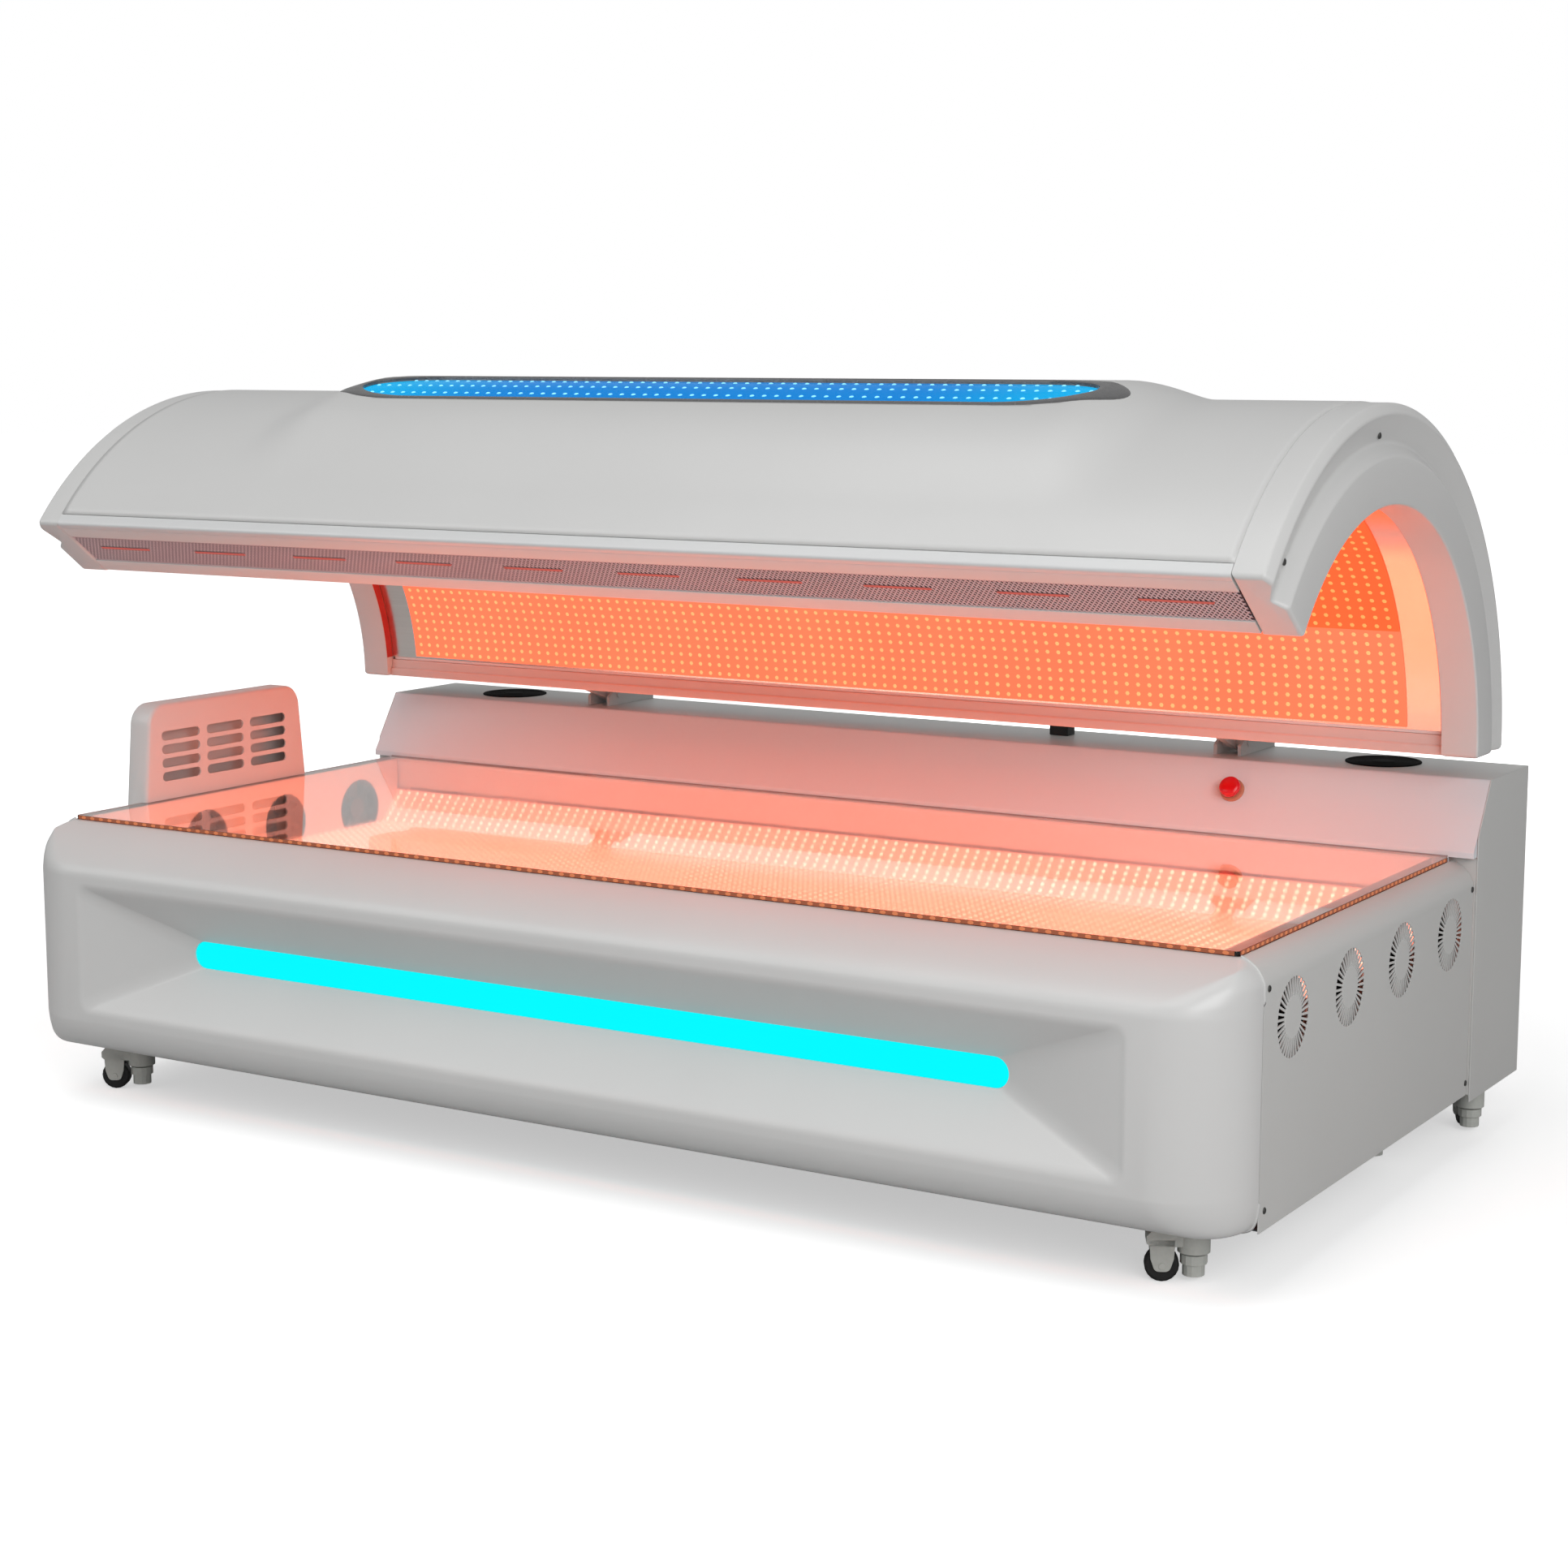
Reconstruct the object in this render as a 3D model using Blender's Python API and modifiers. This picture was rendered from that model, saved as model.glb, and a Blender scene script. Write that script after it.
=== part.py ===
"""Red light therapy bed: a lit bed base on levelling casters, with a half-pipe canopy hinged at the rear.

Metres, +Z up. X runs along the bed (head at -X, foot at +X), -Y is the front. The origin is the middle
of the footprint on the floor. The canopy is drawn open, on its upper stop.
"""
import math

import bmesh
import bpy
from mathutils import Matrix, Vector

OBJECT_NAME = "red_light_therapy_bed"

# Clearances
GAP = 0.0003                # between pieces that touch
PANEL_GAP = 0.0005          # between neighbouring panels

# Bed base
BASE_HALF_LENGTH = 1.100
FRONT_Y = -0.605
SKIRT_Z = 0.0985            # lower edge of the front moulding and the end panels
BED_TOP_Z = 0.480           # upper face of the acrylic sheet
MOULDING_WALL = 0.003
CORNER_RADIUS = 0.105       # plan radius of the two front corners
CORNER_STEPS = 6
SEAM_Y = -0.4905            # where the front moulding ends and the flat end panels begin
PANEL_WALL = 0.002

# Shoulder and skirt of the base: height, set-back at the ends, set-back at the front
SKIRT_LIP = (0.0, 0.045, 0.100)
SKIRT_CURVE = ((0.000, 0.028, 0.060), (0.005, 0.013, 0.038), (0.017, 0.005, 0.019), (0.037, 0.001, 0.006))
FACE_LOW_Z = 0.158          # the front face is upright between these two heights
FACE_HIGH_Z = 0.400
SHOULDER_TOP_DROP = 0.002   # the moulding ends this far below the acrylic's upper face
SHOULDER_CURVE = ((0.066, 0.000, 0.003), (0.054, 0.000, 0.012), (0.038, 0.001, 0.0345),
                  (0.022, 0.009, 0.0635), (0.010, 0.0205, 0.0885), (0.000, 0.0345, 0.1095))

# Recess in the front face and its light bar
LIP_END_MARGIN = 0.160      # from the bed's end to the recess
LIP_HALF_LENGTH = BASE_HALF_LENGTH - LIP_END_MARGIN
LIP_LOW_Z = 0.168
LIP_HIGH_Z = 0.392
LIP_ROUND = 0.012           # width of the rounded lip
LIP_DROP = 0.003            # depth of the rounded lip
LIP_CORNER_RADIUS = 0.020
RECESS_DEPTH = 0.063
RECESS_STEPS = 4
BAR_END_MARGIN = 0.189      # from the end of the recess to the bar
BAR_HALF_LENGTH = LIP_HALF_LENGTH - BAR_END_MARGIN
BAR_HEIGHT = 0.045
BAR_Z = 0.282
BAR_THICKNESS = 0.012

# Acrylic sheet, lower light tray and its end walls
ACRYLIC_THICKNESS = 0.008
ACRYLIC_END_MARGIN = 0.0365
ACRYLIC_HALF_LENGTH = BASE_HALF_LENGTH - ACRYLIC_END_MARGIN
ACRYLIC_CORNER_RADIUS = 0.006
ACRYLIC_FRONT_Y = -0.493
ACRYLIC_REAR_Y = 0.3445
WALL_SET_IN = 0.0615
WALL_X = BASE_HALF_LENGTH - WALL_SET_IN     # inner face of the two tray end walls
WALL_THICKNESS = 0.002
WALL_FRONT_Y = -0.486
WALL_REAR_Y = 0.3325
TRAY_FLOOR_Z = 0.357
TRAY_SLOPE_RUN = 0.050
TRAY_EDGE_SPARE = 0.00075
TRAY_FLOOR_HALF_WIDTH = (WALL_REAR_Y - WALL_FRONT_Y) / 2 - TRAY_SLOPE_RUN + TRAY_EDGE_SPARE
TRAY_MIDDLE_Y = -0.080
TRAY_SLOPE_RISE = 0.055
LOWER_BOARD_THICKNESS = 0.003

# Ring vents in the end panels and the fans behind the head end
VENT_COUNT = 4
VENT_FIRST_Y = -0.385
VENT_PITCH = 0.2133
VENT_Z = 0.375
VENT_OUTER_RADIUS = 0.056
VENT_INNER_RADIUS = 0.030
VENT_SLOTS = 12
VENT_SLOT_WIDTH = 0.0060
FAN_FIRST_Y = -0.413
FAN_PITCH = 0.2107
FAN_Z = 0.389
FAN_HOLE_RADIUS = 0.056
FAN_SIZE = 0.119
FAN_DEPTH = 0.025
FAN_DUCT_RADIUS = 0.0555
FAN_BOSS_RADIUS = 0.019
FAN_BOSS_DEPTH = 0.004
FAN_STRUT_WIDTH = 0.005
ROTOR_HUB_RADIUS = 0.020
ROTOR_RADIUS = 0.053
ROTOR_DEPTH = 0.016
ROTOR_BLADES = 7
ROTOR_BLADE_THICKNESS = 0.002
ROTOR_BLADE_PITCH = math.radians(38)

# Rear cabinet
CABINET_OVERHANG = 0.0055   # past the end panels
CABINET_HALF_LENGTH = BASE_HALF_LENGTH + CABINET_OVERHANG
CABINET_SKIRT_Z = 0.087
COVER_FRONT_Y = 0.3602
DECK_Z = 0.596
DECK_FRONT_Y = 0.413
CONSOLE_FOOT_Y = 0.345
CONSOLE_FOOT_Z = 0.489
CONSOLE_LEDGE_Y = 0.337
BAND_FOOT_Y = 0.335
BAND_FOOT_Z = 0.417
BACK_Y = 0.6025             # outer face of the back panel
SPEAKER_END_MARGIN = 0.2155
SPEAKER_X = CABINET_HALF_LENGTH - SPEAKER_END_MARGIN
SPEAKER_Y = 0.517
SPEAKER_RADIUS = 0.062
SPEAKER_BODY_RADIUS = 0.058
SPEAKER_BODY_DEPTH = 0.035
SPEAKER_RIM = 0.002
SWITCH_X = 0.293
SWITCH_Y = 0.540
SWITCH_SIZE = (0.036, 0.028, 0.024)
INLET_END_MARGIN = 0.2055
INLET_X = -(CABINET_HALF_LENGTH - INLET_END_MARGIN)
INLET_Z = 0.200
INLET_SIZE = (0.060, 0.0022, 0.036)

# Emergency stop button on the sloped console
BUTTON_X = 0.6825
BUTTON_UP_SLOPE = 0.071     # distance up the slope from its foot
BUTTON_RADIUS = 0.0175
BUTTON_HEIGHT = 0.013
BUTTON_STEM_RADIUS = 0.006
BUTTON_STEM_LENGTH = 0.030
BUTTON_TRAVEL = 0.005
COLLAR_RADIUS = 0.020
COLLAR_HEIGHT = 0.006
COLLAR_NECK_RADIUS = 0.011
COLLAR_NECK_LENGTH = 0.018

# Floor pan, chassis and power supply
PAN_Z = 0.1013
PAN_THICKNESS = 0.002
PAN_END_GAP = 0.0035
PAN_HALF_LENGTH = BASE_HALF_LENGTH - PAN_END_GAP
PAN_FRONT_Y = -0.487
PAN_REAR_Y = 0.599
RAIL_SIZE = 0.040
RAIL_WALL = 0.002
RAIL_SET_IN = 0.0665
RAIL_HALF_LENGTH = PAN_HALF_LENGTH - RAIL_SET_IN
FRONT_RAIL_Y = -0.420
MIDDLE_RAIL_Y = 0.280
CROSS_RAIL_X = (-0.600, 0.0, 0.600)
SUPPLY_CENTRE = (0.300, -0.120)
SUPPLY_SIZE = (0.400, 0.220, 0.115)

# Head vent box
VENT_BOX_SET_IN = 0.002     # from the bed's end to the back of the box
VENT_BOX_DEPTH = 0.048
VENT_BOX_BACK_X = -(BASE_HALF_LENGTH - VENT_BOX_SET_IN)
VENT_BOX_FRONT_X = VENT_BOX_BACK_X + VENT_BOX_DEPTH
VENT_BOX_WALL = 0.003
VENT_BOX_SHOULDER_REACH = 0.040
VENT_BOX_FOOT = (-0.342, 0.085)
VENT_BOX_HEAD = (-0.326, 0.068)
VENT_BOX_TOP_Z = 0.650
VENT_BOX_CORNER = 0.038
VENT_BOX_ROWS = 4
VENT_BOX_COLUMNS = 3
VENT_BOX_SLOT = (0.096, 0.0174)
VENT_BOX_PITCH = (0.113, 0.0242)
VENT_BOX_GRILLE_CENTRE = (-0.135, 0.557)

# Canopy: a half pipe about an axis along X
PIPE_Y = -0.085
PIPE_Z = 0.640
PIPE_RADIUS = 0.550
PIPE_END_DEG = 142.4        # the front edge, measured up from the rear
SHELL_WALL = 0.004
CANOPY_OVERHANG = 0.010     # past the end panels
CAP_HALF_LENGTH = BASE_HALF_LENGTH + CANOPY_OVERHANG
CAP_WIDTH = 0.0588
SHELL_HALF_LENGTH = CAP_HALF_LENGTH - CAP_WIDTH
SHELL_STEPS = 26
FRONT_RAIL_DEG = 2.2
FRONT_RAIL_DEPTH = 0.0395
FRONT_RAIL_INNER_RADIUS = PIPE_RADIUS - FRONT_RAIL_DEPTH
FRONT_RAIL_PROUD = 0.0015
CAP_RING_DROP = 0.140       # drops are measured inwards from the pipe's radius
CAP_INNER_RADIUS = PIPE_RADIUS - CAP_RING_DROP
CAP_FACE_DROP = 0.072
CAP_FACE_RADIUS = PIPE_RADIUS - CAP_FACE_DROP       # outer edge of the flat end face
CAP_GROOVE_DROP = 0.053
CAP_GROOVE_RADIUS = PIPE_RADIUS - CAP_GROOVE_DROP
CAP_GROOVE_DEPTH = 0.020
CAP_EDGE_DROP = 0.012
CAP_EDGE_RADIUS = PIPE_RADIUS - CAP_EDGE_DROP
CAP_EDGE_DEPTH = 0.003
CAP_ROUND_DEPTH = 0.013
CAP_RIM_PROUD = 0.0025
CAP_RIM_RADIUS = PIPE_RADIUS + CAP_RIM_PROUD
CAP_STEPS = 30

# Raised crown on the canopy and its window
SKIN_PROUD = 0.004          # the skin stands out past the pipe's radius
SKIN_RADIUS = PIPE_RADIUS + SKIN_PROUD
CROWN_X = 0.030             # the crown sits a little towards the foot
CROWN_RISE = 0.027
CROWN_FLAT_X = 0.665
CROWN_END_X = 0.800
CROWN_FLAT_DEG = 23.0       # either side of the top
CROWN_END_DEG = 42.0
CROWN_SLOPE_STEPS = 4
WINDOW_Y = -0.200
WINDOW_HALF_LENGTH = 0.7225
WINDOW_HALF_WIDTH = 0.082
WINDOW_END_LENGTH = 0.170   # of its half-elliptical ends
BEZEL_WIDTH = 0.010
BEZEL_TIP_SHARE = 4.8       # the bezel is this much wider at the two tips
BEZEL_PROUD = 0.0015
BEZEL_DEPTH = 0.006
PANE_DROP = 0.001
PANE_THICKNESS = 0.004
CROWN_BOARD_THICKNESS = 0.003
CROWN_BOARD_OVERLAP = 0.006
WINDOW_ARC_STEPS = 12

# Canopy lining, upper light boards, front vent and rear rail
LINER_DROP = 0.1185
LINER_RADIUS = PIPE_RADIUS - LINER_DROP     # at the corners between its flat facets
LINER_WALL = 0.002
LINER_START_DEG = 5.0
LINER_END_DEG = 138.0
LINER_FACETS = 6
LIP_START_DEG = 139.3
LINER_LIP_INWARD = 0.0180
LINER_LIP_OUTWARD = 0.0097
LIP_RADII = (LINER_RADIUS - LINER_LIP_INWARD, LINER_RADIUS + LINER_LIP_OUTWARD)
UPPER_BOARD_SET_IN = 0.0612
UPPER_BOARD_HALF_LENGTH = SHELL_HALF_LENGTH - UPPER_BOARD_SET_IN
UPPER_BOARD_THICKNESS = 0.003
UPPER_BOARD_MARGIN = 0.004
VENT_STRIP_SET_BACK = 0.0015
VENT_STRIP_THICKNESS = 0.003
VENT_STRIP_SLOTS = 10
VENT_STRIP_SLOT = (0.110, 0.008)
VENT_STRIP_SLOT_OUTWARD = 0.0077
REAR_RAIL_TOP_Z = 0.672
REAR_RAIL_INNER_DROP = 0.130
REAR_RAIL_INNER_RADIUS = PIPE_RADIUS - REAR_RAIL_INNER_DROP
REAR_RAIL_OUTER_DROP = 0.006
REAR_RAIL_OUTER_RADIUS = PIPE_RADIUS - REAR_RAIL_OUTER_DROP
REAR_RAIL_WALL = 0.004

# Canopy hinge and lifting actuators
HINGE_Y = 0.485
HINGE_Z = 0.617
HINGE_X = 0.642
ARM_THICKNESS = 0.012
ARM_FRONT = 0.075           # reach under the rear rail
ARM_FRONT_DEPTH = 0.0087
EYE_RADIUS = 0.014
PIN_RADIUS = 0.008
CRANK_LENGTH = 0.075
CRANK_START_DEG = -12.0
CRANK_EYE_RADIUS = 0.011
CRANK_PIN_RADIUS = 0.006
CRANK_PIN_PLAY = 0.0014
CHEEK_OFFSET = 0.0185
CHEEK_THICKNESS = 0.006
CHEEK_FRONT = 0.033
CHEEK_FRONT_HEIGHT = 0.017
CHEEK_REAR = 0.115
CHEEK_REAR_HEIGHT = 0.013
CHEEK_BAR = 0.010
DECK_SLOT_HALF_WIDTH = 0.016
DECK_SLOT_START = 0.030
DECK_SLOT_END = 0.107
ACTUATOR_RADIUS = 0.024
ACTUATOR_TOP_Z = 0.545
ROD_RADIUS = 0.010
ROD_FOOT_Z = 0.300
CLEVIS_FOOT_Z = 0.570
CLEVIS_WALL = 0.006
CLEVIS_HALF_WIDTH = 0.0105
CLEVIS_BRIDGE = 0.014

# Levelling casters: wheel, swivel housing and screw-down pad
CASTER_SET_IN = 0.115       # from the bed's end to the stem
CASTER_X = BASE_HALF_LENGTH - CASTER_SET_IN
CASTER_FRONT_Y = -0.437
CASTER_MIDDLE_Y = 0.262
CASTER_REAR_SET_IN = 0.040
CASTER_REAR_X = BASE_HALF_LENGTH - CASTER_REAR_SET_IN
CASTER_REAR_Y = 0.505
CASTER_TRAIL_DEG = 208.0
CASTER_REAR_TRAIL_DEG = 120.0
CASTER_TRAIL = 0.044
CASTER_PLATE_Z = 0.097
CASTER_PLATE_HALF = 0.036
WHEEL_RADIUS = 0.024
WHEEL_WIDTH = 0.022
WHEEL_EDGE = 0.003
AXLE_RADIUS = 0.004
HOUSING_TOP_Z = 0.080
HOUSING_HALF_WIDTH = 0.0185
HOUSING_NOSE = 0.026        # past the axle
HOUSING_CHEEK_Z = 0.014
COLUMN_RADIUS = 0.0215
COLUMN_FOOT_Z = 0.042
SWIVEL_RADIUS = 0.018
WHEEL_CLEARANCE = 0.002
PAD_FOOT_Z = 0.009
PAD_FOOT_RADIUS = 0.0155
PAD_STEP_Z = 0.026
PAD_RADIUS = 0.019
PAD_TOP_Z = 0.0395
PAD_STUD_RADIUS = 0.006
PAD_STUD_TOP_Z = 0.066

ENDS = (("head", -1), ("foot", 1))
ROUND_STEPS = 24
SMALL_ROUND_STEPS = 14
FAN_STEPS = 18
WHEEL_STEPS = 20


# Scene helpers

def clear_scene():
    for item in list(bpy.data.objects):
        bpy.data.objects.remove(item, do_unlink=True)


def make_collection(name):
    collection = bpy.data.collections.new(name)
    bpy.context.scene.collection.children.link(collection)
    return collection


def linear(channel):
    return channel / 12.92 if channel <= 0.04045 else ((channel + 0.055) / 1.055) ** 2.4


def make_material(name, hex_colour, roughness, metallic=0.0, alpha=1.0):
    material = bpy.data.materials.new(name)
    material.use_nodes = True
    shader = material.node_tree.nodes["Principled BSDF"]
    channels = [linear(int(hex_colour[i:i + 2], 16) / 255) for i in (0, 2, 4)]
    shader.inputs["Base Color"].default_value = (*channels, 1.0)
    shader.inputs["Roughness"].default_value = roughness
    shader.inputs["Metallic"].default_value = metallic
    shader.inputs["Alpha"].default_value = alpha
    return material


def finish_mesh(bm, name):
    """Close a bmesh into mesh data with outward faces."""
    bmesh.ops.recalc_face_normals(bm, faces=bm.faces[:])
    mesh = bpy.data.meshes.new(name)
    bm.to_mesh(mesh)
    bm.free()
    return mesh


def add_part(name, mesh, material, parent=None, smooth=False):
    item = bpy.data.objects.new(name, mesh)
    PARTS.objects.link(item)
    if not mesh.materials:
        mesh.materials.append(material)
    if smooth:
        mesh.shade_smooth()
        mesh.set_sharp_from_angle(angle=math.radians(35))
    if parent is not None:
        item.parent = parent
        item.matrix_parent_inverse = Matrix.Translation(parent.location).inverted()
    return item


def add_cutter(name, mesh):
    item = bpy.data.objects.new(name, mesh)
    CUTTERS.objects.link(item)
    item.hide_render = True
    item.display_type = 'WIRE'
    return item


def add_axis(name, location, turn=0.0):
    """An empty on a joint's axis."""
    empty = bpy.data.objects.new(name, None)
    PARTS.objects.link(empty)
    empty.location = location
    empty.rotation_euler = (0, 0, turn)
    return empty


def boolean(item, cutter, operation='DIFFERENCE'):
    modifier = item.modifiers.new(cutter.name, 'BOOLEAN')
    modifier.object = cutter
    modifier.operation = operation
    modifier.solver = 'EXACT'


def baked_mesh(item, name):
    """The evaluated mesh of an object, with its modifiers applied; the object is removed."""
    bpy.context.view_layer.update()
    graph = bpy.context.evaluated_depsgraph_get()
    mesh = bpy.data.meshes.new_from_object(item.evaluated_get(graph))
    mesh.name = name
    bpy.data.objects.remove(item, do_unlink=True)
    return mesh


# Shape helpers

def arc(centre, radius, start_deg, end_deg, steps):
    points = []
    for i in range(steps + 1):
        angle = math.radians(start_deg + (end_deg - start_deg) * i / steps)
        points.append((centre[0] + radius * math.cos(angle), centre[1] + radius * math.sin(angle)))
    return points


def add_box(bm, low, high):
    size = Vector(high) - Vector(low)
    middle = (Vector(high) + Vector(low)) / 2
    placed = Matrix.Translation(middle) @ Matrix.Diagonal((*size, 1.0))
    return bmesh.ops.create_cube(bm, size=1.0, matrix=placed)["verts"]


def box_mesh(name, low, high):
    bm = bmesh.new()
    add_box(bm, low, high)
    return finish_mesh(bm, name)


AXIS_TURN = {
    'X': Matrix(((0, 0, 1), (1, 0, 0), (0, 1, 0))).to_4x4(),
    'Y': Matrix(((1, 0, 0), (0, 0, -1), (0, 1, 0))).to_4x4(),
    'Z': Matrix.Identity(4),
}


def add_cylinder(bm, axis, centre, radius, low, high, steps=ROUND_STEPS):
    """A cylinder along a world axis; centre holds the other two coordinates in X, Y, Z order."""
    depth = high - low
    middle = {'X': (low + depth / 2, *centre), 'Y': (centre[0], low + depth / 2, centre[1]),
              'Z': (*centre, low + depth / 2)}[axis]
    placed = Matrix.Translation(middle) @ AXIS_TURN[axis]
    return bmesh.ops.create_cone(bm, cap_ends=True, segments=steps, radius1=radius, radius2=radius,
                                 depth=depth, matrix=placed)["verts"]


def add_prism(bm, outline, axis, low, high):
    """Extrude a flat outline along a world axis; its points are the other two coordinates in X, Y, Z order."""
    place = {'X': lambda p: (low, p[0], p[1]), 'Y': lambda p: (p[0], low, p[1]),
             'Z': lambda p: (p[0], p[1], low)}[axis]
    push = {'X': Vector((1, 0, 0)), 'Y': Vector((0, 1, 0)), 'Z': Vector((0, 0, 1))}[axis] * (high - low)
    face = bm.faces.new([bm.verts.new(place(p)) for p in outline])
    grown = bmesh.ops.extrude_face_region(bm, geom=[face])["geom"]
    verts = [v for v in grown if isinstance(v, bmesh.types.BMVert)]
    bmesh.ops.translate(bm, verts=verts, vec=push)
    return verts


def prism_mesh(name, outline, axis, low, high):
    bm = bmesh.new()
    add_prism(bm, outline, axis, low, high)
    return finish_mesh(bm, name)


def turned_mesh(name, profile, steps=ROUND_STEPS, ring=False):
    """Turn a profile of (radius, height) points about Z; ring closes a profile that misses the axis."""
    bm = bmesh.new()
    verts = [bm.verts.new((r, 0, z)) for r, z in profile]
    edges = [bm.edges.new(pair) for pair in zip(verts, verts[1:])]
    if ring:
        edges.append(bm.edges.new((verts[-1], verts[0])))
    bmesh.ops.spin(bm, geom=verts + edges, cent=(0, 0, 0), axis=(0, 0, 1), angle=math.tau, steps=steps)
    bmesh.ops.remove_doubles(bm, verts=bm.verts[:], dist=0.00002)
    return finish_mesh(bm, name)


def sheet_outline(points, wall):
    """A bent sheet's outline: a line of outer points and the same line set off to its right by the wall."""
    offset = []
    for i, point in enumerate(points):
        here = Vector(point)
        ahead = (Vector(points[i + 1]) - here).normalized() if i + 1 < len(points) else None
        behind = (here - Vector(points[i - 1])).normalized() if i > 0 else None
        ahead = ahead or behind
        behind = behind or ahead
        side = Vector((behind.y + ahead.y, -behind.x - ahead.x)).normalized()
        across = side.dot(Vector((ahead.y, -ahead.x)))
        offset.append(tuple(here + side * wall / across))
    return list(points) + offset[::-1]


def stadium(centre_y, half_length, radius, steps):
    straight = half_length - radius
    right = arc((straight, centre_y), radius, -90, 90, steps)
    left = arc((-straight, centre_y), radius, 90, 270, steps)
    return right + left


def pipe_point(radius, deg):
    """A point of the canopy's cross-section, as (y, z)."""
    angle = math.radians(deg)
    return (PIPE_Y + radius * math.cos(angle), PIPE_Z + radius * math.sin(angle))


def smooth_step(value):
    value = min(1.0, max(0.0, value))
    return value * value * (3 - 2 * value)


# Front moulding

def base_levels():
    """Heights of the front moulding with the set-back at the ends and at the front."""
    levels = [(SKIRT_Z + SKIRT_LIP[0], *SKIRT_LIP[1:])]
    levels += [(SKIRT_Z + rise, end, front) for rise, end, front in SKIRT_CURVE]
    levels += [(FACE_LOW_Z, 0.0, 0.0), (FACE_HIGH_Z, 0.0, 0.0)]
    top = BED_TOP_Z - SHOULDER_TOP_DROP
    levels += [(top - drop, end, front) for drop, end, front in SHOULDER_CURVE]
    return levels


def moulding_outline(end_set_back, front_set_back):
    """Plan of the moulding at one height: side return, corner, front, corner, side return."""
    half = BASE_HALF_LENGTH - end_set_back
    front = FRONT_Y + front_set_back
    room = SEAM_Y - front - PANEL_GAP
    radius = min(CORNER_RADIUS, room)
    right = arc((half - radius, front + radius), radius, -90, 0, CORNER_STEPS) + [(half, SEAM_Y)]
    left = [(-x, y) for x, y in right[::-1]]
    return left + right


def rounded_ring(half_length, low, high, radius):
    """Corner arcs of an upright rounded rectangle, as four lists of (x, z), from the lower right."""
    corners = ((half_length - radius, low + radius, -90), (half_length - radius, high - radius, 0),
               (-half_length + radius, high - radius, 90), (-half_length + radius, low + radius, 180))
    return [arc((x, z), radius, start, start + 90, RECESS_STEPS) for x, z, start in corners]


def add_recess(bm, frame):
    """Join the front face's four corner vertices to the recess lip, its slopes and the light bar's slot."""
    slot_half = BAR_HEIGHT / 2 + GAP
    inner = LIP_ROUND
    rings = (
        (FRONT_Y, rounded_ring(LIP_HALF_LENGTH, LIP_LOW_Z, LIP_HIGH_Z, LIP_CORNER_RADIUS)),
        (FRONT_Y + LIP_DROP, rounded_ring(LIP_HALF_LENGTH - inner, LIP_LOW_Z + inner, LIP_HIGH_Z - inner,
                                          LIP_CORNER_RADIUS)),
        (FRONT_Y + RECESS_DEPTH, rounded_ring(BAR_HALF_LENGTH + GAP, BAR_Z - slot_half, BAR_Z + slot_half,
                                              slot_half)),
    )
    made = [[[bm.verts.new((x, y, z)) for x, z in corner] for corner in ring] for y, ring in rings]
    for i in range(4):
        following = (i + 1) % 4
        bm.faces.new((frame[i], *made[0][i]))
        bm.faces.new((frame[i], made[0][i][-1], made[0][following][0], frame[following]))
    for near, far in zip(made, made[1:]):
        near_loop = [v for corner in near for v in corner]
        far_loop = [v for corner in far for v in corner]
        for i in range(len(near_loop)):
            j = (i + 1) % len(near_loop)
            bm.faces.new((near_loop[i], far_loop[i], far_loop[j], near_loop[j]))
    bmesh.ops.remove_doubles(bm, verts=bm.verts[:], dist=0.00001)


def build_front_shell(material):
    bm = bmesh.new()
    rows = []
    for height, end_set_back, front_set_back in base_levels():
        rows.append([bm.verts.new((x, y, height)) for x, y in moulding_outline(end_set_back, front_set_back)])
    front_edge = CORNER_STEPS + 1
    low_row = 1 + len(SKIRT_CURVE)
    for r, (low, high) in enumerate(zip(rows, rows[1:])):
        for i in range(len(low) - 1):
            if not (r == low_row and i == front_edge):
                bm.faces.new((low[i], low[i + 1], high[i + 1], high[i]))
    low, high = rows[low_row], rows[low_row + 1]
    add_recess(bm, (low[front_edge + 1], high[front_edge + 1], high[front_edge], low[front_edge]))
    shell = add_part("front_shell", finish_mesh(bm, "front_shell"), material, smooth=True)
    walls = shell.modifiers.new("wall", 'SOLIDIFY')
    walls.thickness = MOULDING_WALL
    walls.offset = -1.0
    return shell


def build_light_bar(material):
    face_y = FRONT_Y + RECESS_DEPTH
    outline = stadium(BAR_Z, BAR_HALF_LENGTH, BAR_HEIGHT / 2, 2 * RECESS_STEPS)
    bar = prism_mesh("light_bar_diffuser", outline, 'Y', face_y, face_y + BAR_THICKNESS)
    add_part("light_bar_diffuser", bar, material, smooth=True)


# End panels, tray and fans

def vent_places():
    return [VENT_FIRST_Y + VENT_PITCH * i for i in range(VENT_COUNT)]


def fan_places():
    return [FAN_FIRST_Y + FAN_PITCH * i for i in range(VENT_COUNT)]


def end_panel_outline():
    """Section of an end panel across its length, as (x, z) for the foot end."""
    outer = [(BASE_HALF_LENGTH, SKIRT_Z)]
    outer += [(BASE_HALF_LENGTH - end, z) for z, end, _ in base_levels() if z > FACE_HIGH_Z]
    return sheet_outline(outer[::-1], PANEL_WALL)


def ring_slot_cutter(name, x_low, x_high):
    bm = bmesh.new()
    for y in vent_places():
        for i in range(VENT_SLOTS):
            verts = add_box(bm, (x_low, -VENT_SLOT_WIDTH / 2, VENT_INNER_RADIUS),
                            (x_high, VENT_SLOT_WIDTH / 2, VENT_OUTER_RADIUS))
            turn = Matrix.Rotation(math.tau * (i + 0.5) / VENT_SLOTS, 4, 'X')
            bmesh.ops.transform(bm, matrix=Matrix.Translation((0, y, VENT_Z)) @ turn, verts=verts)
    return add_cutter(name, finish_mesh(bm, name))


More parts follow.
